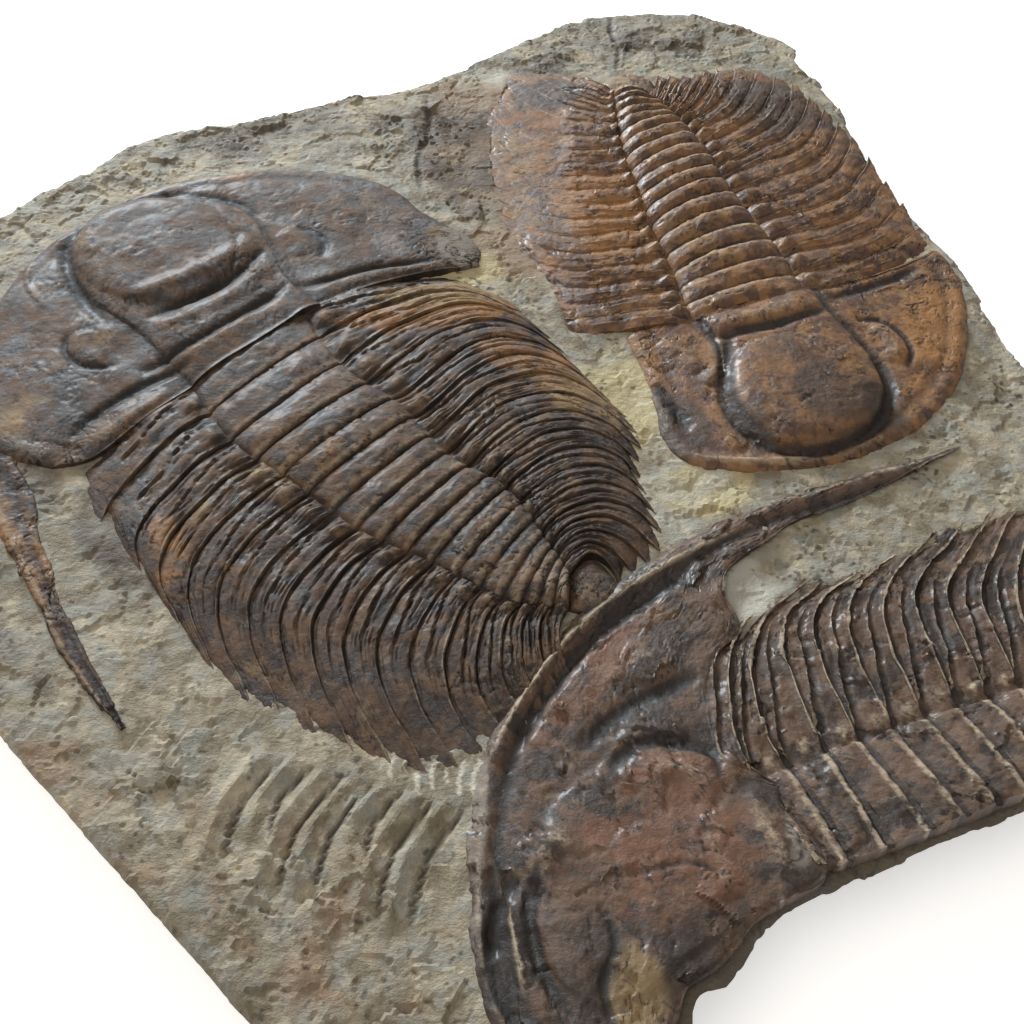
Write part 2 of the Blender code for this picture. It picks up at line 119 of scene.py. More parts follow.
# Thoraxes: the segment number, then points from the axis out to the rib tip
A_LEFT = [
    (0, [(-112, -20), (-121, -30), (-129, -41), (-136, -51), (-143, -58), (-151, -62)]),
    (2, [(-91, -50), (-101, -61), (-109, -74), (-115, -87), (-117, -99), (-113, -110)]),
    (4, [(-69, -68), (-81, -80), (-90, -94), (-95, -110), (-93, -128), (-82, -149)]),
    (7, [(-40, -93), (-51, -105), (-59, -118), (-62, -134), (-58, -152), (-46, -173)]),
    (10, [(-13, -108), (-21, -119), (-27, -132), (-29, -146), (-24, -163), (-12, -184)]),
    (13, [(11, -123), (6, -131), (3, -140), (2, -151), (5, -162), (12, -172)]),
    (17, [(33, -127), (31, -131), (30, -136), (30, -141), (31, -146), (33, -150)]),
]
A_RIGHT = [
    (0, [(-74, 25), (-58, 33), (-44, 39), (-30, 44), (-15, 47), (2, 44)]),
    (2, [(-54, -9), (-40, 7), (-24, 20), (-5, 27), (14, 22), (30, 8)]),
    (4, [(-32, -29), (-19, -16), (-5, 0), (10, 6), (28, 1), (45, -17)]),
    (7, [(-10, -57), (2, -42), (14, -31), (30, -26), (46, -31), (60, -44)]),
    (10, [(12, -75), (20, -66), (31, -57), (44, -54), (54, -58), (60, -66)]),
    (13, [(25, -97), (29, -90), (36, -83), (46, -80), (57, -84), (66, -93)]),
    (17, [(33, -114), (37, -108), (41, -105), (45, -107), (48, -111), (50, -116)]),
]
B_LEFT = [
    (0, [(88, 15), (76, 13), (66, 12), (56, 11), (46, 10), (36, 10)]),
    (3, [(83, 47), (72, 42), (60, 40), (48, 38), (36, 40), (24, 48)]),
    (6, [(76, 80), (66, 76), (54, 74), (40, 74), (24, 80), (8, 94)]),
    (9, [(71, 112), (62, 109), (50, 107), (35, 108), (16, 116), (0, 132)]),
    (12, [(67, 143), (60, 141), (50, 140), (36, 142), (18, 154), (2, 178)]),
    (15, [(66, 172), (60, 173), (52, 176), (40, 184), (26, 198), (14, 216)]),
    (18, [(66, 194), (63, 197), (60, 200), (57, 204), (54, 208), (52, 213)]),
]
B_RIGHT = [
    (0, [(137, 33), (150, 38), (164, 44), (178, 51), (190, 59), (201, 67)]),
    (3, [(128, 71), (140, 77), (155, 82), (170, 92), (181, 106), (189, 120)]),
    (5, [(119, 94), (135, 101), (149, 109), (164, 122), (174, 140), (180, 157)]),
    (7, [(112, 117), (126, 125), (140, 133), (154, 145), (165, 163), (171, 184)]),
    (9, [(108, 135), (121, 142), (134, 154), (146, 167), (154, 186), (158, 206)]),
    (11, [(102, 155), (113, 164), (124, 174), (132, 187), (137, 203), (141, 219)]),
    (13, [(96, 169), (104, 179), (111, 190), (115, 200), (118, 210), (120, 220)]),
    (15, [(91, 177), (96, 184), (100, 192), (103, 199), (106, 207), (108, 215)]),
    (18, [(83, 188), (84, 192), (86, 197), (87, 202), (88, 207), (89, 213)]),
]
C_LEFT = [
    (0, [(86, -189), (76, -180), (74, -165), (73, -153), (77, -143), (91, -130)]),
    (1, [(88, -189), (84, -178), (83, -165), (84, -152), (87, -140), (94, -129)]),
    (2, [(98, -185), (93, -174), (91, -161), (92, -147), (99, -131), (117, -111)]),
    (3, [(110, -180), (106, -166), (104, -152), (103, -141), (109, -126), (122, -112)]),
    (4, [(121, -176), (117, -163), (114, -149), (114, -133), (120, -120), (133, -110)]),
    (6, [(143, -168), (140, -156), (137, -143), (137, -128), (145, -113), (162, -94)]),
    (9, [(175, -157), (174, -147), (172, -136), (172, -120), (181, -102), (198, -79)]),
    (12, [(206, -146), (205, -137), (204, -127), (206, -113), (213, -98), (225, -81)]),
    (15, [(227, -136), (226, -129), (226, -121), (228, -111), (232, -101), (238, -91)]),
    (18, [(240, -129), (240, -125), (240, -121), (241, -117), (242, -114), (244, -110)]),
]
C_CUT = [
    (0, [(101, -217)]), (1, [(104, -217)]), (2, [(110, -216)]), (3, [(122, -212)]), (4, [(135, -207)]),
    (6, [(156, -199)]), (9, [(186, -185)]), (12, [(214, -169)]), (15, [(233, -158)]), (18, [(245, -151)]),
]

# Heads: the front and back edges share their end points, and the glabella is a closed outline
HEAD_A_FRONT = [
    (-156, -62), (-178, -55), (-192, -38), (-201, -12), (-204, 18), (-200, 46), (-193, 66), (-184, 80),
    (-173, 95), (-158, 107), (-140, 117), (-115, 124), (-90, 127), (-68, 124), (-50, 117), (-38, 108),
    (-28, 95), (-16, 84), (-6, 76), (0, 65), (-1, 54),
]
HEAD_A_BACK = [
    (-156, -62), (-146, -60), (-139, -55), (-132, -45), (-124, -34), (-112, -20), (-102, -8), (-90, 4),
    (-78, 17), (-72, 24), (-62, 31), (-50, 38), (-38, 43), (-22, 48), (-11, 51), (-1, 54),
]
HEAD_B_FRONT = [
    (60, 8), (64, -6), (67, -20), (69, -34), (70, -47), (75, -57), (85, -63), (100, -65), (120, -64),
    (136, -60), (152, -53), (166, -45), (179, -33), (190, -18), (198, 0), (204, 22), (207, 44), (205, 60),
    (202, 67),
]
HEAD_B_BACK = [
    (60, 8), (74, 12), (88, 15), (100, 17), (112, 22), (124, 28), (137, 33), (150, 38), (164, 44),
    (178, 51), (190, 59), (202, 67),
]
HEAD_C_FRONT = [
    (40, -276), (22, -272), (10, -262), (4, -246), (1, -228), (1, -205), (3, -188), (8, -171), (18, -152),
    (30, -135), (44, -119), (60, -106), (78, -94), (98, -83), (120, -74), (142, -65), (163, -58), (183, -50),
]
HEAD_C_BACK = [
    (40, -276), (50, -269), (56, -259), (60, -250), (68, -245), (74, -239), (80, -232), (92, -225),
    (101, -219), (100, -204), (97, -194), (90, -190), (82, -182), (78, -168), (77, -156), (80, -144),
    (88, -134), (85, -122), (87, -111), (98, -101), (114, -89), (132, -80), (152, -70), (168, -60),
    (183, -50),
]
GLABELLA_A = [
    (-100, -34), (-134, 6), (-150, 20), (-166, 35), (-178, 60), (-177, 76), (-170, 90), (-158, 98),
    (-144, 100), (-128, 98), (-112, 94), (-102, 86), (-95, 72), (-88, 58), (-82, 44), (-58, 8),
]
GLABELLA_B = [
    (84, 34), (96, 2), (97, -14), (96, -30), (100, -44), (110, -54), (124, -57), (140, -52), (153, -40),
    (159, -24), (158, -8), (152, 6), (145, 20), (128, 54),
]
GLABELLA_C = [
    (104, -180), (76, -180), (62, -172), (48, -172), (42, -182), (30, -192), (21, -206), (18, -224),
    (22, -242), (34, -254), (50, -252), (62, -242), (80, -232), (118, -218),
]
# The bulb is (x, y, radius along, radius across, turn in degrees); heights are above the rock
BULBS = {"a": (-142, 64, 42, 33, 130), "b": (127, -26, 33, 30, 20), "c": (42, -220, 30, 27, 60)}
BULB_RISES = {"a": 2.4, "b": 2.8, "c": 0.0}
HEAD_EDGES = {"a": -0.1, "b": -0.1, "c": 0.3}
SWELLINGS = {"a": 2.7, "b": 3.6, "c": 1.4}
RIM_RISES = {"a": 0.3, "b": 0.5, "c": 0.9}

TAIL_A = [(33, -127), (33, -114), (37, -108), (41, -105), (45, -107), (48, -111), (51, -119), (43, -129)]
TAIL_B = [
    (66, 193), (61, 199), (60, 206), (64, 213), (72, 215), (80, 213), (86, 207), (87, 198), (83, 189),
    (75, 188),
]
TAIL_C = [(237, -127), (244, -125), (248, -131), (249, -139), (248, -146), (243, -150), (240, -139)]

SPINE_A = [(-181, -57), (-171, -72), (-160, -92), (-148, -112), (-133, -137), (-118, -157), (-106, -172)]
SPINE_A_HALF_WIDTHS = [8.5, 8.0, 7.0, 6.0, 4.6, 3.2, 1.2]

THORAX_SIDES = {"a": (A_LEFT, A_RIGHT), "b": (B_LEFT, B_RIGHT), "c": (C_LEFT, C_CUT)}
HEADS = {
    "a": (HEAD_A_FRONT, HEAD_A_BACK, GLABELLA_A),
    "b": (HEAD_B_FRONT, HEAD_B_BACK, GLABELLA_B),
    "c": (HEAD_C_FRONT, HEAD_C_BACK, GLABELLA_C),
}
TAILS = {"a": TAIL_A, "b": TAIL_B, "c": TAIL_C}

# Strokes are (height, half width, points): a ridge where the height is positive, else a furrow
HEAD_STROKES = {
    "a": [
        (1.5, 4.2, [(-146, 26), (-131, 36), (-116, 46), (-104, 60), (-99, 72)]),
        (-1.9, 2.4, [(-136, 16), (-121, 27), (-108, 37), (-99, 50), (-94, 62)]),
        (1.5, 4.0, [(-130, 10), (-116, 20), (-103, 31), (-93, 44), (-88, 54)]),
        (-2.1, 2.4, [(-133, -14), (-121, -4), (-110, 5), (-98, 18), (-86, 30), (-80, 40)]),
        (1.2, 4.5, [(-120, -14), (-108, 0), (-96, 11), (-84, 22), (-76, 30)]),
        (-1.8, 2.6, [(-112, -10), (-124, -16), (-136, -26), (-146, -38), (-152, -50)]),
        (1.3, 3.8, [(-118, -24), (-128, -34), (-138, -46), (-147, -54)]),
        (-1.7, 3.0, [(-150, 14), (-162, 26), (-174, 44), (-181, 62), (-180, 78), (-172, 92)]),
        (-1.2, 2.4, [(-172, 93), (-158, 102), (-140, 105), (-122, 102), (-106, 94), (-98, 84)]),
        (0.9, 3.0, [(-103, 85), (-97, 75), (-90, 65), (-82, 45), (-79, 30)]),
        (-1.2, 2.0, [(-82, 79), (-74, 76), (-68, 68), (-69, 58)]),
        (1.4, 5.0, [(-88, 76), (-80, 70), (-76, 60)]),
        (-1.7, 2.2, [(-78, 38), (-66, 42), (-50, 49), (-34, 53), (-16, 56)]),
        (1.3, 3.8, [(-70, 32), (-58, 40), (-44, 45), (-28, 49), (-10, 54)]),
        (1.3, 4.6, [(-161, 10), (-160, 2), (-154, -3), (-148, -4)]),
        (-1.2, 1.5, [(-167, 10), (-166, 0), (-159, -8), (-149, -10), (-142, -7)]),
        (0.7, 1.2, [(-196, 60), (-192, 42), (-186, 33), (-180, 26)]),
    ],
    "b": [
        (-1.9, 2.4, [(95, 3), (107, 6), (120, 10), (134, 16), (144, 22)]),
        (1.4, 4.0, [(92, 10), (106, 13), (120, 18), (138, 26)]),
        (-1.9, 2.6, [(101, 8), (99, -10), (97, -28), (102, -44), (112, -53)]),
        (-2.2, 2.4, [(112, -54), (126, -57), (142, -51), (155, -39), (161, -24), (160, -10), (154, 4)]),
        (1.5, 4.0, [(160, 13), (166, 9), (168, 0), (165, -8)]),
        (-1.2, 1.5, [(155, 17), (164, 17), (172, 9), (174, -2), (170, -11)]),
        (-1.6, 2.2, [(146, 30), (160, 36), (176, 44), (190, 54)]),
        (1.6, 4.0, [(97, 4), (95, -12), (90, -22)]),
        (1.8, 5.0, [(74, 4), (82, -4), (88, -14)]),
        (-1.4, 3.0, [(70, -20), (76, -34), (82, -44)]),
        (1.0, 2.0, [(74, -56), (90, -60), (112, -61), (134, -57), (156, -47)]),
    ],
    "c": [
        (-1.7, 2.4, [(12, -186), (20, -168), (31, -150), (45, -134), (62, -120), (82, -106)]),
        (1.0, 1.6, [(6, -186), (14, -166), (26, -147), (40, -130), (58, -115), (78, -102), (98, -91)]),
        (-2.0, 2.4, [(15, -218), (9, -234), (10, -250), (18, -262)]),
        (1.0, 1.4, [(9, -214), (12, -226), (15, -240), (17, -255)]),
        (-1.6, 2.0, [(22, -214), (19, -230), (22, -246), (30, -258)]),
        (-1.5, 2.0, [(78, -184), (72, -179), (64, -177), (55, -177), (48, -181), (43, -188)]),
        (1.4, 5.0, [(52, -188), (60, -186), (69, -188), (76, -193)]),
        (1.5, 4.0, [(30, -204), (24, -212), (20, -222)]),
        (0.8, 5.0, [(32, -168), (44, -155), (58, -145), (72, -138)]),
        (-1.1, 2.6, [(34, -180), (46, -168), (62, -158), (74, -152)]),
        (-1.8, 2.0, [(94, -192), (97, -202), (101, -211)]),
        (1.3, 3.4, [(84, -194), (88, -208), (92, -220)]),
        (0.7, 3.6, [(70, -200), (72, -210), (74, -226)]),
        (1.3, 3.2, [(78, -126), (92, -112), (112, -98), (136, -86), (160, -72), (180, -55)]),
        (-0.6, 1.1, [(46, -220), (54, -218), (64, -216), (74, -220)]),
        (0.6, 5.0, [(48, -229), (58, -226), (70, -231)]),
        (-0.8, 1.3, [(38, -228), (42, -238), (38, -250), (42, -264)]),
    ],
}
ROCK_STROKES = [
    (1.8, 5.0, [(-20, 95), (0, 75), (20, 50), (33, 40), (33, 15)]),
    (-1.2, 1.4, [(-30, 195), (-27, 165), (-31, 138), (-28, 110)]),
    (-0.9, 1.0, [(68, 216), (71, 240), (68, 262), (70, 282)]),
    (1.0, 3.0, [(8, 175), (10, 195), (9, 215)]),
    (-0.8, 1.2, [(-232, 20), (-222, 60), (-204, 92)]),
]
# Rows of strokes are (count, start, step, run, height, half width)
RIB_IMPRESSIONS = [
    (7, (-60, -178), (9.4, -2.6), (-15, -36), 1.7, 2.4),
    (7, (-55, -181), (9.4, -2.6), (-14, -33), -1.5, 0.8),
]
RIB_PRINT_ZONE = (-40, -196, 48, 30, -12)
TOOL_MARKS = [
    (7, (60, -22), (1.8, -6.0), (11, 1), 0.3, 0.8),
    (8, (-21, -178), (4.2, -0.6), (-1, -12), 0.35, 0.75),
    (6, (2, -176), (1.0, -5.0), (9, -2), 0.3, 0.7),
]

# Stains are (x, y, radius along, radius across, turn in degrees, strength)
STAINS = {
    "head_shield_a": {
        "rust": [(-150, 112, 16, 4, 30, 1.0), (-108, 92, 5, 4, 0, 1.0), (-120, 118, 22, 3, 8, 0.6)],
        "ochre": [(-172, -38, 20, 22, 0, 0.55), (-176, 62, 8, 24, -15, 0.5), (-140, 8, 22, 12, 0, 0.4),
                  (-16, 72, 16, 8, -45, 0.6)],
        "soot": [(-155, -30, 10, 26, 20, 0.8), (-120, 70, 24, 10, 40, 0.4), (-60, 110, 40, 14, -20, 0.35)],
        "ash": [(-168, -50, 18, 8, -20, 0.6), (-90, 98, 18, 8, 40, 0.4), (-40, 80, 30, 14, -45, 0.3),
                (-6, 66, 20, 14, -50, 1.0)],
    },
    "thorax_a": {
        "rust": [(-18, 22, 50, 14, 10, 0.9), (24, -8, 40, 18, -30, 0.7), (-104, -104, 10, 26, 20, 0.6),
                 (-60, -60, 30, 14, -45, 0.5)],
        "ochre": [(-12, 34, 44, 10, 8, 0.9), (36, -24, 34, 14, -35, 0.7), (-58, -160, 34, 12, -40, 0.35),
                  (-84, -80, 20, 30, -45, 0.4)],
        "soot": [(-60, 22, 22, 10, 20, 0.5), (30, -95, 26, 20, 60, 0.7), (45, -80, 18, 30, 40, 0.4)],
        "ash": [(-20, -60, 60, 14, -50, 0.35), (10, -150, 24, 30, 0, 0.3)],
    },
    "tail_shield_a": {"soot": [(40, -115, 14, 14, 0, 0.6)]},
    "cheek_spine_a": {"rust": [(-154, -102, 16, 44, 35, 0.62)], "soot": [(-112, -166, 16, 12, 0, 0.9)]},
    "head_shield_b": {
        "rust": [(186, 12, 20, 44, -20, 0.8), (120, -40, 26, 12, 0, 0.3)],
        "ochre": [(172, 34, 20, 12, 20, 0.5)],
        "soot": [(140, -30, 22, 26, 20, 0.8), (110, -40, 14, 14, 0, 0.6), (118, -8, 20, 12, 0, 0.5),
                 (76, -44, 16, 22, 0, 1.0), (152, -46, 20, 10, 40, 0.8)],
        "ash": [(84, -2, 10, 18, 30, 0.5)],
    },
    "thorax_b": {
        "rust": [(54, 90, 26, 50, 0, 0.75), (140, 80, 40, 20, 20, 0.5), (95, 110, 24, 40, 10, 0.3)],
        "ochre": [(50, 150, 22, 26, 0, 0.35), (100, 60, 20, 20, 0, 0.5), (20, 110, 16, 50, 0, 0.5)],
        "soot": [(30, 192, 26, 22, 0, 0.8), (12, 140, 14, 60, 5, 0.35), (90, 195, 22, 20, 0, 0.5),
                 (145, 180, 46, 32, -40, 0.75), (75, 178, 20, 26, 0, 0.45)],
        "ash": [(40, 22, 14, 9, 0, 0.6), (10, 130, 16, 80, 5, 0.5)],
    },
    "tail_shield_b": {"ash": [(68, 202, 9, 12, 0, 0.9)], "soot": [(80, 200, 8, 12, 0, 0.7)]},
    "head_shield_c": {
        "rust": [(62, -190, 26, 14, 0, 0.7), (40, -150, 14, 46, -42, 0.7), (60, -214, 40, 24, 10, 0.7)],
        "ochre": [(46, -252, 13, 16, 0, 0.78), (92, -112, 12, 8, 30, 0.4)],
        "soot": [(10, -238, 12, 26, 0, 0.9), (34, -240, 16, 24, 0, 0.6), (80, -160, 14, 26, 0, 0.5),
                 (64, -242, 16, 16, 0, 0.7), (20, -205, 12, 20, 0, 0.5), (90, -200, 12, 20, 0, 0.4)],
        "ash": [(30, -198, 16, 10, 50, 0.35), (150, -66, 30, 6, 25, 0.5), (97, -206, 5, 16, -10, 0.9),
                (4, -200, 4, 60, 0, 0.7)],
    },
    "thorax_c": {
        "rust": [(150, -140, 50, 20, 20, 0.25)],
        "ochre": [(210, -130, 22, 16, 0, 0.3)],
        "soot": [(84, -150, 12, 30, 0, 0.5), (170, -96, 60, 8, 30, 0.35)],
        "ash": [(140, -190, 50, 9, 22, 0.35)],
    },
    "tail_shield_c": {"soot": [(244, -138, 10, 14, 0, 0.5)]},
    "matrix_slab": {
        "rust": [(-40, -230, 60, 30, -40, 0.3), (-190, -60, 40, 26, -40, 0.3), (40, -262, 20, 14, 0, 0.5),
                 (-4, 150, 30, 74, 8, 0.7), (14, 68, 24, 26, 0, 0.7), (-60, 190, 50, 20, 20, 0.3),
                 (-110, -200, 60, 14, -42, 0.3)],
        "ochre": [(56, -30, 24, 38, 0, 0.7), (84, -72, 24, 14, 10, 0.7), (-10, 52, 24, 14, 0, 0.6)],
        "soot": [(-60, 170, 40, 14, 15, 0.35), (30, 228, 30, 16, 30, 0.35), (-226, 10, 14, 60, 0, 0.3),
                 (-110, 162, 80, 20, 28, 0.36), (-12, 150, 30, 66, 8, 0.48), (-137, -84, 18, 56, 35, 0.45),
                 (94, 250, 60, 20, 0, 0.34), (-214, -66, 30, 46, 40, 0.42), (-150, -150, 14, 30, 45, 0.35),
                 (165, -206, 120, 26, 24, 1.0), (74, -250, 34, 22, 50, 1.0)],
        "ash": [(0, 222, 16, 18, 0, 0.5), (92, -118, 14, 14, 0, 0.8), (60, -80, 60, 16, 20, 0.4)],
    },
}
TONES = ("rust", "ochre", "soot", "ash")
# Of these tones, light is a painted highlight that the material lays on raised bumps; the others are the
# piece's own colours.
BODY_TONES_AND_HIGHLIGHT = ("dark", "middle", "light", "other", "chipped")


def spline(knots, points, at):
    """Smooth curve through points placed at the knots, read at the given places."""
    knots = np.asarray(knots, float)
    points = np.asarray(points, float)
    at = np.clip(np.asarray(at, float), knots[0], knots[-1])
    wide = (-1,) + (1,) * (points.ndim - 1)
    step = np.diff(knots)
    slope = np.diff(points, axis=0) / step.reshape(wide)
    tangent = np.empty_like(points)
    tangent[0], tangent[-1] = slope[0], slope[-1]
    after, before = step[1:].reshape(wide), step[:-1].reshape(wide)
    tangent[1:-1] = (after * slope[:-1] + before * slope[1:]) / (before + after)
    i = np.clip(np.searchsorted(knots, at, side="right") - 1, 0, len(knots) - 2)
    h = step[i].reshape(wide)
    u = ((at - knots[i]) / step[i]).reshape(wide)
    return (
        (2 * u**3 - 3 * u**2 + 1) * points[i]
        + (u**3 - 2 * u**2 + u) * h * tangent[i]
        + (3 * u**2 - 2 * u**3) * points[i + 1]
        + (u**3 - u**2) * h * tangent[i + 1]
    )


def even(points, count):
    """The smooth curve through points, as count points evenly spaced along it."""
    points = np.asarray(points, float)
    last = len(points) - 1
    fine = spline(np.arange(last + 1), points, np.linspace(0, last, CURVE_SAMPLES * (last + 1)))
    along = np.concatenate([[0.0], np.cumsum(np.linalg.norm(np.diff(fine, axis=0), axis=1))])
    wanted = np.linspace(0, along[-1], count)
    return np.stack([np.interp(wanted, along, fine[:, k]) for k in range(2)], axis=1)


def smooth(value, low, high):
    """Rises smoothly from 0 to 1 between two values."""
    share = np.clip((value - low) / (high - low), 0, 1)
    return share * share * (3 - 2 * share)


def dome(value, width):
    """Rises from 0 at an edge to 1 at a distance inside it, round at the top."""
    share = np.clip(value / width, 0, 1)
    return np.sqrt(share * (2 - share))


def ring_around(value, middle, width):
    """A round hill of height 1 around a value."""
    return np.exp(-(((value - middle) / width) ** 2))


def line_distance(x, y, points):
    """Distance to an open line of points, and how far along it the nearest point lies, from 0 to 1."""
    points = np.asarray(points, float)
    nearest = np.full(np.shape(x), np.inf)
    along = np.zeros(np.shape(x))
    for i, (start, step) in enumerate(zip(points[:-1], np.diff(points, axis=0))):
        share = np.clip(((x - start[0]) * step[0] + (y - start[1]) * step[1]) / (step @ step), 0, 1)
        reach = np.hypot(x - start[0] - share * step[0], y - start[1] - share * step[1])
        closer = reach < nearest
        nearest = np.where(closer, reach, nearest)
        along = np.where(closer, (i + share) / (len(points) - 1), along)
    return nearest, along


def inside_distance(outline, x, y):
    """How far each place lies inside a closed outline; negative outside it."""
    closed = np.vstack([outline, outline[:1]])
    nearest, _ = line_distance(x, y, closed)
    inside = np.zeros(np.shape(x), bool)
    for (ax, ay), (bx, by) in zip(closed[:-1], closed[1:]):
        if ay != by:
            crosses = (ay > y) != (by > y)
            inside ^= crosses & (x < ax + (y - ay) / (by - ay) * (bx - ax))
    return np.where(inside, nearest, -nearest)


def near_distance(outline, x, y):
    """inside_distance worked out only around an outline; farther places read as FAR outside it."""
    outline = np.asarray(outline, float)
    low, high = outline.min(axis=0) - FAR, outline.max(axis=0) + FAR
    near = (x > low[0]) & (x < high[0]) & (y > low[1]) & (y < high[1])
    reach = np.full(np.shape(x), -FAR)
    reach[near] = np.maximum(inside_distance(outline, x[near], y[near]), -FAR)
    return reach


def ellipse(x, y, spot):
    """1 in the middle of a turned ellipse, 0 on its edge and negative beyond."""
    middle_x, middle_y, along, across, turn = spot[:5]
    c, s = math.cos(math.radians(turn)), math.sin(math.radians(turn))
    dx, dy = x - middle_x, y - middle_y
    return 1 - np.hypot((dx * c + dy * s) / along, (dy * c - dx * s) / across)


def rock_level(x, y):
    """The rock's upper face, which swells and dips gently."""
    across, along, slanting = SWELL_LENGTHS
    swell = np.sin(x / across + SWELL_PHASE) * np.cos(y / along)
    swell = swell + SLANTING_SHARE * np.sin((x + SLANT * y) / slanting)
    return ROCK_TOP + SWELL_HEIGHT * swell


def strokes(x, y, lines, count=STROKE_POINTS):
    """Height, furrow mask and crest mask of the ridges and furrows drawn along lines."""
    height, furrow, crest = np.zeros(np.shape(x)), np.zeros(np.shape(x)), np.zeros(np.shape(x))
    for rise, width, points in lines:
        reach, along = line_distance(x, y, even(points, count))
        weight = ring_around(reach, 0.0, width) * np.sqrt(np.clip(np.sin(math.pi * along) * 1.6, 0, 1))
        height += rise * weight
        if rise < 0:
            furrow = np.maximum(furrow, weight * min(1.0, -rise))
        else:
            crest = np.maximum(crest, weight * min(1.0, rise) * min(1.0, BROAD / width))
    return height, furrow, crest


def stains(name, x, y):
    """How strongly each tone colours a piece at every place."""
    marks = {}
    for tone in TONES:
        amount = np.zeros(np.shape(x))
        for spot in STAINS[name].get(tone, ()):
            amount = np.maximum(amount, spot[5] * smooth(ellipse(x, y, spot), *STAIN_EDGE))
        marks[tone] = amount
    return marks


def ring_of(grid):
    """The border of a grid, in order around it."""
    return np.concatenate([grid[0, :-1], grid[:-1, -1], grid[-1, :0:-1], grid[:0:-1, 0]])


def closed_piece(name, grid, rise, marks, foot=None):
    """A closed mesh: plan points at a height above the rock, a skirt to the foot ring and a flat bottom."""
    x, y = grid[..., 0], grid[..., 1]
    top = np.dstack([x, y, rock_level(x, y) + rise]).reshape(-1, 3)
    foot = ring_of(grid) if foot is None else foot
    index = np.arange(x.size).reshape(x.shape)
    quads = np.stack([index[:-1, :-1], index[:-1, 1:], index[1:, 1:], index[1:, :-1]], axis=-1).reshape(-1, 4)
    ring = ring_of(index)
    lower = np.arange(len(ring)) + x.size
    skirt = np.stack([ring, lower, np.roll(lower, -1), np.roll(ring, -1)], axis=-1)
    bottom = np.column_stack([foot, np.full(len(foot), POCKET_FLOOR + GAP)])
    faces = quads.tolist() + skirt.tolist() + [lower[::-1].tolist()]
    marks = {"loose": np.ones(x.shape), "bared": np.zeros(x.shape), **marks, **stains(name, x, y)}
    marks = {key: np.concatenate([np.ravel(values), np.zeros(len(ring))]) for key, values in marks.items()}
    return mesh_piece(name, np.concatenate([top, bottom]), faces, marks)


def mesh_piece(name, points, faces, marks):
    """The object of a piece, with doubled points merged and its marks kept as attributes."""
    mesh = bpy.data.meshes.new(name)
    mesh.from_pydata((points * MM).tolist(), [], faces)
    for key, values in marks.items():
        mesh.attributes.new(key, "FLOAT", "POINT").data.foreach_set("value", values.astype(np.float32))
    bm = bmesh.new()
    bm.from_mesh(mesh)
    bmesh.ops.remove_doubles(bm, verts=bm.verts, dist=MERGED)
    bmesh.ops.dissolve_degenerate(bm, edges=bm.edges, dist=SLIVER)
    bmesh.ops.recalc_face_normals(bm, faces=bm.faces)
    for face in bm.faces:
        face.smooth = len(face.verts) < 5
    bm.to_mesh(mesh)
    bm.free()
    piece = bpy.data.objects.new("look_" + name, mesh)
    bpy.context.scene.collection.objects.link(piece)
    return piece


def ruled_grid(front, back, columns, rows, lap=0.0):
    """Plan points between two curves that share their ends: the last row on the front one, row 0 a lap
    beyond the back one."""
    front_points, back_points = even(front, columns + 1), even(back, columns + 1)
    share = np.linspace(-lap, 1, rows + 1)[:, None, None]
    return back_points[None] * (1 - share) + front_points[None] * share


def thorax_grid(trilobite):
    """Plan points of a thorax with its segment number and its place across for every point."""
    left, right = THORAX_SIDES[trilobite]
    rings = RINGS[trilobite]
    segment = np.concatenate([[n + part for part in RING_FRACTIONS] for n in range(rings)] + [[rings]])
    side_share = np.linspace(0, 1, PLEURA_COLUMNS + 1)
    tables = []
    for table in (left, right):
        rows = spline([key for key, _ in table], [points for _, points in table], segment)
        if rows.shape[1] == 1:
            tables.append(rows)
        else:
            knots = np.linspace(0, 1, rows.shape[1])
            tables.append(spline(knots, rows.transpose(1, 0, 2), side_share).transpose(1, 0, 2))
    left_rows, right_rows = tables
    share = np.linspace(0, 1, AXIS_COLUMNS + 1)[None, 1:, None]
    axis_rows = left_rows[:, :1] * (1 - share) + right_rows[:, :1] * share
    across = [-AXIS_HALF - (1 - AXIS_HALF) * side_share[::-1], AXIS_HALF * (2 * share[0, :, 0] - 1)]
    parts = [left_rows[:, ::-1], axis_rows]
    if right_rows.shape[1] > 1:
        parts.append(right_rows[:, 1:])
        across.append(AXIS_HALF + (1 - AXIS_HALF) * side_share[1:])
    grid = np.concatenate(parts, axis=1)
    across = np.concatenate(across)
    segments = np.repeat(segment[:, None], len(across), axis=1)
    return grid, segments, np.repeat(across[None], len(segment), axis=0)


def wander(x, y, size, seed):
    """A soft irregular wave between about -1 and 1, made of a few turned sines."""
    total = np.zeros(np.shape(x))
    for k in range(5):
        turn = seed + 2.4 * k
        length = size * (0.6 + 0.35 * k)
        total += np.sin((x * math.cos(turn) + y * math.sin(turn)) / length + 3.1 * k + seed)
    return total / 3


# Heights of the axis, ribs, furrow and tips, and how far the rib tips stick out
THORAX_FORM = {
    "a": {"axis": 5.4, "pleura": 3.9, "furrow": 2.8, "tip": -0.3, "spike": 5.0, "first": 0.0},
    "b": {"axis": 7.4, "pleura": 3.8, "furrow": 2.4, "tip": -0.1, "spike": 3.0, "first": 0.0},
    "c": {"axis": 6.4, "pleura": 4.4, "furrow": 2.8, "tip": -0.1, "spike": 6.0, "first": 3.0},
}


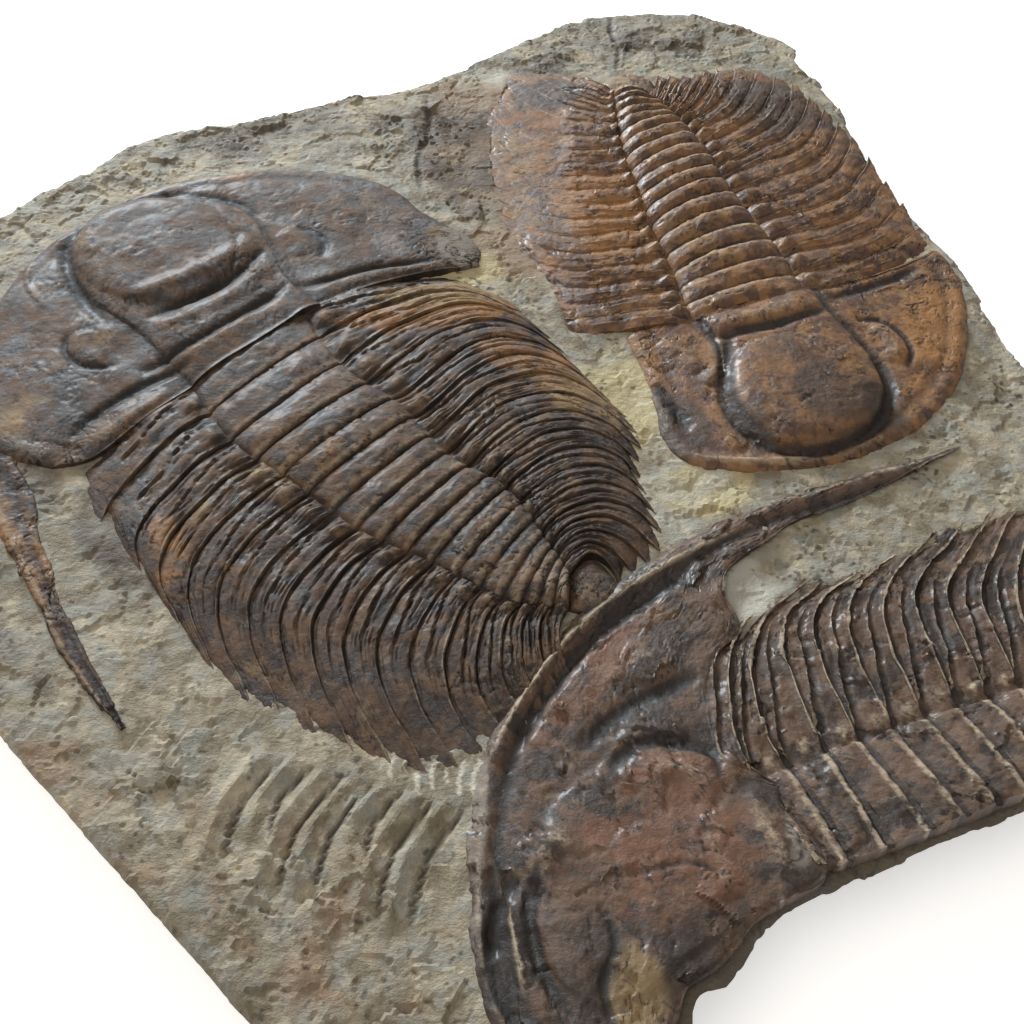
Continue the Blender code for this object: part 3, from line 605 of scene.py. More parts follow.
def thorax(trilobite):
    """The ribbed middle of a trilobite, with a smooth vault that the ribs are later raised on."""
    form = THORAX_FORM[trilobite]
    cut = trilobite == "c"
    grid, segment, across = thorax_grid(trilobite)
    foot = ring_of(grid)
    reach = np.clip((np.abs(across) - AXIS_HALF) / (1 - AXIS_HALF), 0, 1)
    fraction = segment - np.floor(segment)
    outward = np.gradient(grid, axis=1) * np.sign(across)[..., None]
    outward /= np.maximum(np.linalg.norm(outward, axis=2, keepdims=True), 1e-6)
    spike = form["spike"] * smooth(reach, 0.8, 1.0) * (smooth(fraction, 0.0, 0.9) - 0.6)
    spike *= 1 + form["first"] * np.exp(-segment / 1.5)
    pitch = np.linalg.norm(np.gradient(grid, axis=0), axis=2) / np.gradient(segment, axis=0)
    grid = grid + outward * spike[..., None] * np.clip(pitch / 8, 0, 1)[..., None]
    x, y = grid[..., 0], grid[..., 1]
    inner = smooth(reach, 0, 0.05) * (1 - smooth(reach, 0.9, 1.0))
    drift = np.stack([wander(x, y, 11, 1.0), wander(x, y, 11, 4.0)], axis=-1) * 0.9
    drift += np.stack([wander(x, y, 4, 2.0), wander(x, y, 4, 5.0)], axis=-1) * 0.3
    inner = inner * smooth(segment, 0, 0.7) * smooth(RINGS[trilobite] - segment, 0, 1)
    grid = grid + drift * inner[..., None]
    x, y = grid[..., 0], grid[..., 1]
    crown = AXIS_HALF if cut else 0.0
    width = 2 * AXIS_HALF if cut else AXIS_HALF
    arch = np.sqrt(np.clip(1 - ((across - crown) / width) ** 2, 0, 1))
    ring = np.abs(across) <= AXIS_HALF
    vault = np.sin(0.75 * math.pi * np.clip(1 - reach, 0, 1)) ** 0.8
    pleura = form["tip"] + (form["pleura"] - form["tip"]) * vault
    pleura += (form["furrow"] - pleura) * np.exp(-reach * 14)
    if not cut:
        pleura -= FRONT_SINK * (1 - smooth(segment, 0, 0.8)) * smooth(reach, 0.2, 0.6)
    grown = 0.62 + 0.38 * smooth(segment, 0, 4)
    axis = form["furrow"] + (form["axis"] - form["furrow"] + 1.0) * arch * grown
    rise = np.where(ring, axis, pleura)
    marks = {"segment": segment, "pitch": pitch, "reach": np.where(ring, -1.0, reach), "crown": arch}
    if trilobite == "b":
        worn = smooth(-x, -46, -34) * smooth(y, 60, 85)
        rise -= 0.3 * worn
        marks["bared"] = worn
    return closed_piece("thorax_" + trilobite, grid, rise, marks, foot)


def head(trilobite):
    """A head shield: rolled rim, vaulted cheeks, swollen glabella, its furrows and the eye lobes."""
    front, back, glabella = HEADS[trilobite]
    grid = ruled_grid(front, back, *HEAD_GRID, HEAD_LAP)
    x, y = grid[..., 0], grid[..., 1]
    to_front, _ = line_distance(x, y, even(front, 90))
    to_back, _ = line_distance(x, y, even(back, 90))
    swelling = inside_distance(even(glabella + glabella[:1], 80)[:-1], x, y)
    rim = RIM_RISES[trilobite]
    rise = HEAD_EDGES[trilobite] + 1.5 * dome(to_front, 8.0) + 2.4 * dome(to_front, 50.0)
    rise += rim * (ring_around(to_front, *RIM) - ring_around(to_front, *RIM_GROOVE))
    rise *= 0.8 + 0.2 * dome(to_back, 3.0)
    rise += SWELLINGS[trilobite] * dome(swelling, 13.0)
    bulb = ellipse(x, y, BULBS[trilobite])
    rise += BULB_RISES[trilobite] * dome(bulb, 0.55) + 0.3 * wander(x, y, 12, 2.0) * smooth(swelling, 0, 8)
    height, furrow, crest = strokes(x, y, HEAD_STROKES[trilobite])
    # The furrow mask marks painted shade: in the drawn furrows, around the glabella, in the rim groove and
    # along the back edge. The crest mask lightens the drawn ridges and the top of the rim with pale wear and
    # a painted highlight.
    furrow = np.maximum(1.2 * furrow, 0.25 * SWELLINGS[trilobite] * ring_around(swelling, -1.0, 2.6))
    furrow = np.maximum(furrow, rim * 0.8 * ring_around(to_front, *RIM_GROOVE))
    furrow = np.maximum(furrow, 0.2 * ring_around(to_back, 0.0, 1.0))
    crest = np.maximum(crest, rim * 0.6 * ring_around(to_front, 3.0, 1.4))
    marks = {"furrow": furrow, "crest": crest}
    return closed_piece("head_shield_" + trilobite, grid, rise + height, marks)


def tail(trilobite):
    """The small tail shield: a low dome."""
    outline = TAILS[trilobite]
    half = len(outline) // 2
    grid = ruled_grid(outline[: half + 1], outline[:1] + outline[:half - 1:-1], *TAIL_GRID)
    x, y = grid[..., 0], grid[..., 1]
    edge = inside_distance(even(outline + outline[:1], 60)[:-1], x, y)
    rise = 0.2 + 3.4 * dome(edge, 9.0)
    # The furrow mask paints shade around the edge; the crest mask makes the dome lighter towards its top with
    # pale wear and a painted highlight.
    marks = {"furrow": 0.6 * ring_around(edge, 0.0, 1.2), "crest": 0.5 * dome(edge, 9.0)}
    return closed_piece("tail_shield_" + trilobite, grid, rise, marks)


def cheek_spine():
    """The long left cheek spine of trilobite A, split and hollowed along its middle."""
    middle = even(SPINE_A, SPINE_POINTS)
    traced = np.linspace(0, 1, len(SPINE_A))
    widths = np.interp(np.linspace(0, 1, SPINE_POINTS), traced, SPINE_A_HALF_WIDTHS)
    ahead = np.gradient(middle, axis=0)
    ahead /= np.linalg.norm(ahead, axis=1, keepdims=True)
    widths = widths * (0.95 + 0.25 * wander(middle[:, 0], middle[:, 1], 4.0, 0.7))
    side = np.stack([-ahead[:, 1], ahead[:, 0]], axis=1) * widths[:, None]
    grid = ruled_grid(middle + side, middle - side, *SPINE_GRID)
    x, y = grid[..., 0], grid[..., 1]
    across = np.linspace(-1, 1, grid.shape[0])[:, None] + 0 * x
    hollow = ring_around(across, 0.25, 0.3)
    rise = 0.3 + 1.5 * np.sqrt(np.clip(1 - across**2, 0, 1)) - 0.8 * hollow + 0.25 * wander(x, y, 3.0, 1.7)
    # The furrow mask paints shade in the hollow; the crest mask lightens a strip along one side with pale
    # wear and a painted highlight.
    marks = {"furrow": 0.6 * hollow, "crest": ring_around(across, -0.5, 0.25)}
    return closed_piece("cheek_spine_a", grid, rise, marks)


def fossil_outlines():
    """The plan outline of every fossil piece, for the pockets in the rock."""
    outlines = []
    for trilobite in "abc":
        front, back, _ = HEADS[trilobite]
        outlines.append(np.concatenate([even(front, 60), even(back, 60)[-2:0:-1]]))
        grid, _, _ = thorax_grid(trilobite)
        outlines.append(ring_of(grid)[::8])
        tail_outline = TAILS[trilobite]
        outlines.append(even(tail_outline + tail_outline[:1], 30)[:-1])
    middle = even(SPINE_A, 14)
    outlines.append(np.concatenate([middle + (3, 2), middle[::-1] - (3, 2)]))
    return outlines


def lattice(spacing):
    """Points of a triangular lattice over the slab's box."""
    half_width, half_length = LATTICE_HALF
    rows = np.arange(-half_length, half_length, spacing * math.sqrt(0.75))
    columns = np.arange(-half_width, half_width, spacing)
    x = columns[None, :] + (np.arange(len(rows)) % 2)[:, None] * spacing / 2
    return x.ravel(), np.repeat(rows, len(columns))


def scattered_marks(x, y, rows):
    """Short parallel strokes: tool marks and the faint prints of ribs in the rock."""
    lines = []
    for count, (start_x, start_y), (step_x, step_y), (run_x, run_y), rise, width in rows:
        for n in range(count):
            a = np.array([start_x + n * step_x, start_y + n * step_y])
            b = a + np.array([run_x, run_y]) * (1 - 0.25 * math.sin(2.0 * n))
            bend = (a + b) / 2 + np.array([run_y, -run_x]) * 0.12
            lines.append((rise, width, [tuple(a), tuple(bend), tuple(b)]))
    return strokes(x, y, lines, 5)


def slab():
    """The rock, with its fine grid where it shows, broken sides and a flat underside."""
    border = even(SLAB_OUTLINE + SLAB_OUTLINE[:1], 1 + round(OUTLINE_LENGTH / OUTLINE_SPACING))[:-1]
    if np.sum(border[:, 0] * np.roll(border[:, 1], -1) - np.roll(border[:, 0], -1) * border[:, 1]) < 0:
        border = border[::-1]
    outlines = fossil_outlines()

    def depth_in_fossils(x, y):
        deepest = np.full(np.shape(x), -FAR)
        for outline in outlines:
            deepest = np.maximum(deepest, near_distance(outline, x, y))
        return deepest

    coarse_border = even(SLAB_OUTLINE + SLAB_OUTLINE[:1], COARSE_POINTS)[:-1]
    kept = []
    for spacing, hidden in ((ROCK_SPACING, False), (HIDDEN_SPACING, True)):
        x, y = lattice(spacing)
        within = inside_distance(coarse_border, x, y) > OUTLINE_SPACING * 0.7
        x, y = x[within], y[within]
        deep = depth_in_fossils(x, y) > POCKET_REACH + 3.0
        kept.append(np.stack([x, y], axis=1)[deep if hidden else ~deep])
    plan = np.concatenate([border, *kept])
    loop = [(i, (i + 1) % len(border)) for i in range(len(border))]
    verts, _, faces = delaunay_2d_cdt([Vector(p) for p in plan], loop, [], 1, 1e-6)[:3]
    plan = np.array(verts)
    x, y = plan[:, 0], plan[:, 1]
    to_edge = np.maximum(inside_distance(coarse_border, x, y), 0)
    deep = depth_in_fossils(x, y)
    height, furrow, crest = strokes(x, y, ROCK_STROKES)
    more, more_furrow, _ = scattered_marks(x, y, RIB_IMPRESSIONS)
    _, _, scraped = scattered_marks(x, y, TOOL_MARKS)
    printed = smooth(ellipse(x, y, RIB_PRINT_ZONE), 0.0, 0.4)
    beside = ring_around(deep, 0.0, 6.0)
    heaped = 0.45 + 0.35 * wander(x, y, 5, 1.3) + 0.3 * wander(x, y, 13, 4.1)
    z = rock_level(x, y) + height + more + heaped * beside + 0.9 * wander(x, y, 22, 5.0) * (1 - beside)
    z -= EDGE_DROP * (1 - dome(to_edge, EDGE_DROP_WIDTH))
    pocket = smooth(deep, POCKET_REACH, POCKET_REACH + POCKET_SLOPE)
    z += (POCKET_FLOOR - z) * pocket
    count = len(border)

    inward = -np.stack([np.gradient(border[:, 1]), -np.gradient(border[:, 0])], axis=1)
    for _ in range(SIDE_SMOOTHING):
        inward = (np.roll(inward, 1, axis=0) + inward + np.roll(inward, -1, axis=0)) / 3
    inward /= np.linalg.norm(inward, axis=1, keepdims=True)
    rows, levels = [], []
    for row in range(1, SIDE_ROWS + 1):
        share = row / SIDE_ROWS
        slope = UNDERCUT * share**0.7
        ledge = LEDGE * np.sin(row * 2.1 + wander(border[:, 0], border[:, 1], 14, 0.5) * 2) * (1 - share)
        rows.append(border + inward * (slope + ledge)[:, None])
        levels.append(z[:count] * (1 - share))
    wall = np.concatenate([np.column_stack([xy, level]) for xy, level in zip(rows, levels)])
    points = np.concatenate([np.column_stack([x, y, z]), wall])
    total = len(x)
    upper = np.arange(count)
    wall_faces = []
    for row in range(SIDE_ROWS):
        lower = total + row * count + np.arange(count)
        wall_faces.append(np.stack([upper, lower, np.roll(lower, -1), np.roll(upper, -1)], axis=-1))
        upper = lower
    faces = [list(face) for face in faces] + np.concatenate(wall_faces).tolist() + [upper[::-1].tolist()]

    def with_wall(values):
        return np.concatenate([values, np.zeros(len(wall))])

    lower_left = smooth(-x, 30.0, 60.0) * smooth(-y, 10.0, 60.0)
    trimmed = EDGE_TRIM * lower_left * (1 - dome(to_edge, EDGE_TRIM_WIDTH))
    loose = np.concatenate([(1 - pocket) * (1 - trimmed), np.tile(1 - trimmed[:count], SIDE_ROWS)])
    loose[total + (SIDE_ROWS - 1) * count:] = 0.0
    # The furrow mask paints shade in the drawn furrows and the rib prints; the crest mask paints a highlight
    # on the drawn ridges and marks the tool marks' own pale scratches.
    marks = {
        "loose": loose,
        "furrow": with_wall(np.maximum(furrow, more_furrow)),
        "crest": with_wall(np.maximum(0.35 * crest, 3.6 * scraped)),
        "bared": with_wall(np.maximum(beside, printed)),
    }
    for tone, amount in stains("matrix_slab", x, y).items():
        marks[tone] = np.concatenate([amount, np.tile(amount[:count], SIDE_ROWS)])
    return mesh_piece("matrix_slab", points, faces, marks)


class Flow:
    """A value on its way through a node tree. Arithmetic on it adds the Math node that does it."""

    def __init__(self, tree, socket):
        self.tree = tree
        self.socket = socket

    def math(self, operation, *values):
        node = self.tree.nodes.new("ShaderNodeMath")
        node.operation = operation
        for socket, value in zip(node.inputs, (self, *values)):
            feed(self.tree, socket, value)
        return Flow(self.tree, node.outputs[0])

    def __add__(self, other):
        return self.math("ADD", other)

    def __sub__(self, other):
        return self.math("SUBTRACT", other)

    def __rsub__(self, other):
        return self.math("MULTIPLY", -1.0) + other

    def __mul__(self, other):
        return self.math("MULTIPLY", other)

    def __truediv__(self, other):
        return self.math("DIVIDE", other)

    def __rtruediv__(self, other):
        return self.math("POWER", -1.0) * other

    def __pow__(self, other):
        return self.math("POWER", other)

    __radd__ = __add__
    __rmul__ = __mul__


def feed(tree, socket, value):
    """Links a flow to a socket, or sets the socket to a plain value."""
    if isinstance(value, Flow):
        tree.links.new(value.socket, socket)
    elif value is not None:
        socket.default_value = value


def add(tree, kind, inputs=(), output=0, **settings):
    """Adds a node, fills its inputs by name or number, and returns one of its outputs."""
    node = tree.nodes.new(kind)
    for key, value in settings.items():
        setattr(node, key, value)
    for key, value in dict(inputs).items():
        feed(tree, node.inputs[key], value)
    return Flow(tree, node.outputs[output])


def steps(value, low, high):
    """Rises smoothly from 0 to 1 between two values."""
    inputs = {0: value, 1: low, 2: high}
    return add(value.tree, "ShaderNodeMapRange", inputs, interpolation_type="SMOOTHSTEP")


def hump(value, middle, width):
    """A round hill of height 1 around a value."""
    away = (value - middle) / width
    return (away * away * -1.0).math("EXPONENT")


def most(*values):
    """The greatest of some flows or numbers. The first is a flow."""
    greatest = values[0]
    for value in values[1:]:
        greatest = greatest.math("MAXIMUM", value)
    return greatest


def vectors(tree, operation, first, second):
    return add(tree, "ShaderNodeVectorMath", {0: first, 1: second}, operation=operation)


def parts(tree, vector):
    """The three numbers of a vector or colour."""
    split = add(tree, "ShaderNodeSeparateXYZ", {0: vector}).socket.node.outputs
    return [Flow(tree, socket) for socket in split]


def noise(tree, place, size, detail, rough):
    """Fractal noise whose largest features are about size millimetres."""
    inputs = {"Vector": place, "Scale": 1 / (size * MM), "Detail": detail, "Roughness": rough}
    return add(tree, "ShaderNodeTexNoise", inputs)


def sockets(tree, inputs, outputs):
    """Gives a tree its named inputs and outputs, and returns its input sockets by name."""
    for in_out, rows in (("INPUT", inputs), ("OUTPUT", outputs)):
        for name, kind in rows:
            tree.interface.new_socket(name=name, in_out=in_out, socket_type="NodeSocket" + kind)
    node = tree.nodes.new("NodeGroupInput")
    return {name: Flow(tree, node.outputs[name]) for name, _ in inputs}


def relief_inputs(tree, names):
    """The inputs of a relief tree: the mesh, its named amounts and the material."""
    rows = [("Geometry", "Geometry"), *((name, "Float") for name in names), ("Material", "Material")]
    return sockets(tree, rows, [("Geometry", "Geometry")])


def mark(tree, name):
    """A number kept on each point of the mesh, in a relief tree."""
    return add(tree, "GeometryNodeInputNamedAttribute", {"Name": name}, data_type="FLOAT")


def raise_tree(tree, given, height, loose, masks):
    """Ends a relief tree: moves the points along their normals, keeps masks and sets the material."""
    normal = add(tree, "GeometryNodeInputNormal")
    lifted = add(tree, "ShaderNodeVectorMath", {0: normal, "Scale": height * loose * MM}, operation="SCALE")
    inputs = {"Geometry": given["Geometry"], "Offset": lifted}
    geometry = add(tree, "GeometryNodeSetPosition", inputs)
    for name, value in masks.items():
        inputs = {"Geometry": geometry, "Name": name, "Value": value}
        geometry = add(tree, "GeometryNodeStoreNamedAttribute", inputs, data_type="FLOAT", domain="POINT")
    geometry = add(tree, "GeometryNodeRealizeInstances", {"Geometry": geometry})
    inputs = {"Geometry": geometry, "Material": given["Material"]}
    geometry = add(tree, "GeometryNodeSetMaterial", inputs)
    feed(tree, tree.nodes.new("NodeGroupOutput").inputs[0], geometry)


def streaks(tree, first, second, detail):
    """Noise drawn out along one of two values."""
    inputs = {"Scale": 1.0, "Detail": detail, "Roughness": 0.6}
    inputs["Vector"] = add(tree, "ShaderNodeCombineXYZ", {0: first, 1: second})
    return add(tree, "ShaderNodeTexNoise", inputs)


def ribbing_tree():
    """Raises a thorax's rings and ribs from the segment number on each point of its vault."""
    tree = bpy.data.node_groups.new("Ribbing", "GeometryNodeTree")
    given = relief_inputs(tree, RIBS["a"])
    place = add(tree, "GeometryNodeInputPosition")
    segment, pitch, reach = mark(tree, "segment"), mark(tree, "pitch"), mark(tree, "reach")
    crown, bared, loose = mark(tree, "crown"), mark(tree, "bared"), mark(tree, "loose")
    part = segment.math("FRACT")
    from_front = part * pitch
    from_back = (1.0 - part) * pitch
    swell = noise(tree, place, SWELL_SIZE, 4.0, 0.6)
    fret = noise(tree, place, FRET_SIZE, 4.0, 0.6)
    streak = (streaks(tree, segment * 3.5, reach * 5.0, 4.0) - 0.5) * 0.6
    tip = steps(reach, 0.55, 1.0)
    groove_width = given["Groove Width"] * (0.4 + fret * 1.2)
    groove = hump(from_front.math("MINIMUM", from_back), 0.0, groove_width)
    groove = groove * most(swell * 1.7 - 0.2, 0.1) * (1.0 - tip * 0.6) * steps(segment, 0.0, 0.6)
    wide = steps(pitch, 1.5, 6.0)

    axial = steps(reach, -0.5, 0.0)
    vault = most(1.0 - ((part * 2.0 - 1.0).math("ABSOLUTE") ** 2.5), 0.0)
    furrow_at = given["Furrow Start"] + steps(reach, 0.0, 0.5) * given["Furrow Swing"]
    furrow_at = furrow_at + (swell - 0.5) * 0.4
    furrow_away = (part - furrow_at) * pitch
    furrow = hump(furrow_away, 0.0, groove_width * 1.6)
    run = (1.0 - steps(reach, 0.45, 0.85)) * steps(reach, 0.0, 0.03)
    furrow = furrow * run * most(fret * 2.0 - 0.2, 0.0)
    knob = hump(reach, 0.07, 0.05) * hump(part, 0.6, 0.24) * (0.4 + swell * 1.3)
    crest_width = given["Crest Width"]
    beside = hump(from_back, crest_width * 1.4, crest_width)
    before = hump(furrow_away, crest_width * -1.8, crest_width) * run
    lasting = most(swell * 2.4 - 0.5, given["Crest Least"])
    crest = (beside + before * 0.8) * steps(reach, 0.0, 0.1) * lasting
    fine = (streaks(tree, segment * 2.6, reach * 1.1, 3.0) - 0.5).math("ABSOLUTE")
    plait = (1.0 - steps(fine, 0.0, 0.05)) * (1.0 - tip * 0.4) * axial * given["Plait Depth"]
    rib = vault * given["Rib Rise"] + (part - 0.5) * given["Rib Step"] + knob * given["Rib Rise"] * 2.6
    rib = rib + crest * given["Crest Rise"] - furrow * given["Furrow Depth"] + streak * 1.2 - plait
    rib = (rib - groove * given["Groove Depth"]) * (1.0 - tip * 0.55) * (1.0 - bared * 0.85)

    half_ring = hump(part, 0.14, 0.1) * (0.2 + fret)
    ring = vault * given["Ring Rise"] * (swell * 2.6 - 0.2) + (part - 0.5) * given["Ring Step"]
    ring = ring - (groove * 0.9 + half_ring * 0.5) * given["Groove Depth"] + streak * 1.1 + (fret - 0.5) * 1.2
    ring = ring * (0.35 + crown * 0.65)
    height = (rib * axial + ring * (1.0 - axial)) * wide

    # The furrow mask paints shade in the grooves, the pleural furrows, the axial furrow and the fine plaits.
    # The crest mask lightens the crests, the knobs and a band by each ring's back edge with pale wear and a
    # painted highlight.
    seam = hump(reach, 0.0, 0.012) * (0.4 + fret)
    dark = most(groove, furrow * 0.8, seam * 0.5, plait * 1.2)
    dark = most(dark + streak * -1.0, 0.0) * (1.0 - bared * 0.7) * wide
    ring_highlight = hump(from_back, 2.2, 1.6) * (1.0 - axial) * (0.3 + fret)
    light = most(crest, knob * 0.8, ring_highlight) + streak * 1.2
    raise_tree(tree, given, height, loose, {"furrow": dark, "crest": light})
    return tree


def plates(tree, place, size, spread):
    """Broken plates: the height of each one's own step and tilt, from about -1 to 1, and its own chance."""
    shift = add(tree, "ShaderNodeTexNoise", {"Vector": place, "Scale": 1.9 / MM / size, "Detail": 4.0}, 1)
    shift = add(tree, "ShaderNodeVectorMath", {0: shift, "Scale": size * (MM * spread)}, operation="SCALE")
    place = vectors(tree, "ADD", place, shift)
    cell = add(tree, "ShaderNodeTexVoronoi", {"Vector": place, "Scale": 1.0 / MM / size}, "Color")
    step, lean_x, lean_y = parts(tree, cell)
    middle = Flow(tree, cell.socket.node.outputs["Position"])
    away_x, away_y, _ = parts(tree, vectors(tree, "SUBTRACT", place, middle))
    tilt = (lean_x - 0.5) * away_x + (lean_y - 0.5) * away_y
    return (step - 0.5) * 1.2 + tilt * (3.0 / MM) / size, step


# Sizes and heights in millimetres that all pieces share
SWELL_SIZE = 22.0
FRET_SIZE = 7.0
SHARED_SIZE = 40.0
SHARED_HEIGHT = 2.4
CRACK_SIZE = 13.0
HAIRLINE_SIZE = 30.0


def weathering_tree():
    """Roughens a piece: shared lumps, broken plates, split layers, chips, grain and cracks, and stains."""
    tree = bpy.data.node_groups.new("Weathering", "GeometryNodeTree")
    given = relief_inputs(tree, ROCK_WEATHER)
    place = add(tree, "GeometryNodeInputPosition")
    loose, bared = mark(tree, "loose"), mark(tree, "bared")

    def sized(size, detail, rough, twist=0.0, kind="FBM"):
        inputs = {"Vector": place, "Scale": 1.0 / MM / size, "Detail": detail, "Roughness": rough}
        return add(tree, "ShaderNodeTexNoise", {**inputs, "Distortion": twist}, noise_type=kind)

    shared = (sized(SHARED_SIZE, 4.0, 0.5, 0.3) - 0.5) * SHARED_HEIGHT
    lumps = (sized(given["Lump Size"], 2.5, 0.5, 0.4) - 0.5) * 2.0
    facets = sized(given["Facet Size"], 5.0, 0.6, 0.0, "RIDGED_MULTIFRACTAL") - 1.0
    broken, _ = plates(tree, place, given["Plate Size"], 0.45)
    fine, flake = plates(tree, place, given["Plate Size"] * 0.5, 0.8)
    broken = (broken + fine * 0.4) * (0.4 + steps(lumps, -0.35, 0.45) * 0.9)
    layered = sized(given["Layer Size"], 6.0, 0.6, 0.8) * 11.0
    ledge = layered.math("FLOOR") + steps(layered.math("FRACT"), 0.88, 1.0) - 5.5
    chip_field = sized(given["Chip Size"], 6.0, 0.62, 0.6)
    chip = steps(chip_field, 1.0 - given["Chip Share"], 1.012 - given["Chip Share"])
    grain = (sized(given["Grain Size"], 5.0, 0.7) - 0.5) * 2.0
    seam = (sized(CRACK_SIZE, 4.0, 0.6, 1.2) - 0.5).math("ABSOLUTE") * 40.0
    crack = most(1.0 - seam / given["Crack Width"], 0.0) * steps(lumps, -0.3, 0.3)
    height = lumps * given["Lump Height"] + facets * given["Facet Height"] + ledge * given["Layer Height"]
    height = height + broken * given["Plate Height"] + grain * given["Grain Height"]
    height = (height - chip * given["Chip Depth"]) * (1.0 - bared * 0.6) - crack * given["Crack Depth"]

    cloud = steps(sized(given["Cloud Size"], 6.0, 0.62, 0.5) + flake * 0.12, 0.34, 0.8)
    # relief marks the raised bumps that the material paints lighter, a painted highlight.
    relief = facets * 0.35 + grain * 0.35 + broken * 0.12 + 0.5
    tint = steps(sized(given["Cloud Size"] * 0.4, 6.0, 0.65, 0.8) + flake * 0.25, 0.44, 0.84)
    masks = {"cloud": cloud, "tint": tint, "chip": chip, "crack": crack, "relief": relief, "flake": flake}
    for number, tone in enumerate(TONES):
        breakup = sized(16.0 + 5.0 * number, 6.0, 0.6, 0.3)
        masks[tone] = steps(mark(tree, tone) * 0.7 + breakup - given["Stain Start"], -0.04, 0.44)
    raise_tree(tree, given, height + shared, loose, masks)
    return tree


def give_relief(piece, tree, material, values, edge_angle=180.0):
    """Runs a relief tree on a piece and keeps the result as its plain mesh, creased at steep edges."""
    modifier = piece.modifiers.new(tree.name, "NODES")
    modifier.node_group = tree
    identifiers = {item.name: item.identifier for item in tree.interface.items_tree if item.in_out == "INPUT"}
    for name, value in {**values, "Material": material}.items():
        modifier[identifiers[name]] = value
    graph = bpy.context.evaluated_depsgraph_get()
    mesh = bpy.data.meshes.new_from_object(piece.evaluated_get(graph))
    mesh.set_sharp_from_angle(angle=math.radians(edge_angle))
    piece.modifiers.remove(modifier)
    old = piece.data
    piece.data = mesh
    bpy.data.meshes.remove(old)
    mesh.name = piece.name


def attribute(tree, name):
    """A number kept on the mesh, in a material."""
    return add(tree, "ShaderNodeAttribute", output="Fac", attribute_name=name)


def blend(tree, amount, first, second):
    """The first colour, and the second one where the amount is 1."""
    return add(tree, "ShaderNodeMix", {0: amount, 6: first, 7: second}, 2, data_type="RGBA")


def toning_group():
    """The stone's or shell's own colour in clouds and flecks, a painted highlight on its raised bumps, and
    the stains marked on the mesh.
    """
    tree = bpy.data.node_groups.new("Toning", "ShaderNodeTree")
    rows = [("Fleck", "Float"), *((tone.title(), "Color") for tone in BODY_TONES_AND_HIGHLIGHT + TONES)]
    given = sockets(tree, rows, [("Color", "Color")])
    fleck = given["Fleck"] - 0.5
    clouded = steps(attribute(tree, "cloud") + fleck * 1.2, 0.0, 1.0)
    # Raised bumps are painted lighter: a painted highlight.
    raised = steps(attribute(tree, "relief") * 0.8 + fleck * 2.4, 0.45, 1.0)
    shade = blend(tree, clouded, given["Dark"], given["Middle"])
    shade = blend(tree, raised * 0.85, shade, given["Light"])
    shade = blend(tree, steps(attribute(tree, "tint") + fleck, 0.1, 1.0) * 0.75, shade, given["Other"])
    shade = blend(tree, attribute(tree, "chip") * 0.6, shade, given["Chipped"])
    for tone in TONES:
        amount = steps(attribute(tree, tone) + fleck * 0.8, 0.1, 0.95)
        shade = blend(tree, amount * 0.88, shade, given[tone.title()])
    feed(tree, tree.nodes.new("NodeGroupOutput").inputs["Color"], shade)
    return tree


def furrow_shade_and_crest_group():
    """Paints shade into the furrows and darkens the cracks with their own dark, and lightens the crests with
    pale dust and a painted highlight.
    """
    tree = bpy.data.node_groups.new("Furrows and crests", "ShaderNodeTree")
    rows = [("Place", "Vector"), ("Fleck", "Float"), ("Color", "Color"), ("Deep", "Color"), ("Worn", "Color"),
            ("Furrow Amount", "Float"), ("Crest Amount", "Float"), ("Crack Amount", "Float")]
    given = sockets(tree, rows, [("Color", "Color"), ("Dust", "Float")])
    fleck = given["Fleck"] - 0.5
    # Painted shade in the furrows, joined by the own dark of the cracks and hairlines.
    deep = steps(attribute(tree, "furrow") + fleck * 0.9, 0.1, 0.9) * given["Furrow Amount"]
    cracked = steps(attribute(tree, "crack") + fleck * 1.2, 0.1, 0.7) * 0.8
    wandering = (noise(tree, given["Place"], HAIRLINE_SIZE, 2.5, 0.5) - 0.5).math("ABSOLUTE")
    hairline = (1.0 - steps(wandering, 0.0, 0.007)) * (1.0 - attribute(tree, "tint"))
    deep = most(deep, cracked, hairline * given["Crack Amount"])
    # Pale dust and a painted highlight on the crests.
    worn = steps(attribute(tree, "crest") * 0.8 + fleck * 1.6, 0.2, 0.85) * given["Crest Amount"]
    shade = blend(tree, worn, given["Color"], given["Worn"])
    shade = blend(tree, deep, shade, given["Deep"])
    output = tree.nodes.new("NodeGroupOutput")
    feed(tree, output.inputs["Color"], shade)
    feed(tree, output.inputs["Dust"], worn)
    return tree


def use(tree, group, inputs):
    """Adds a shared group, fills its inputs and returns its outputs by name."""
    node = tree.nodes.new("ShaderNodeGroup")
    node.node_tree = group
    for key, value in inputs.items():
        feed(tree, node.inputs[key], value)
    return {socket.name: Flow(tree, socket) for socket in node.outputs}
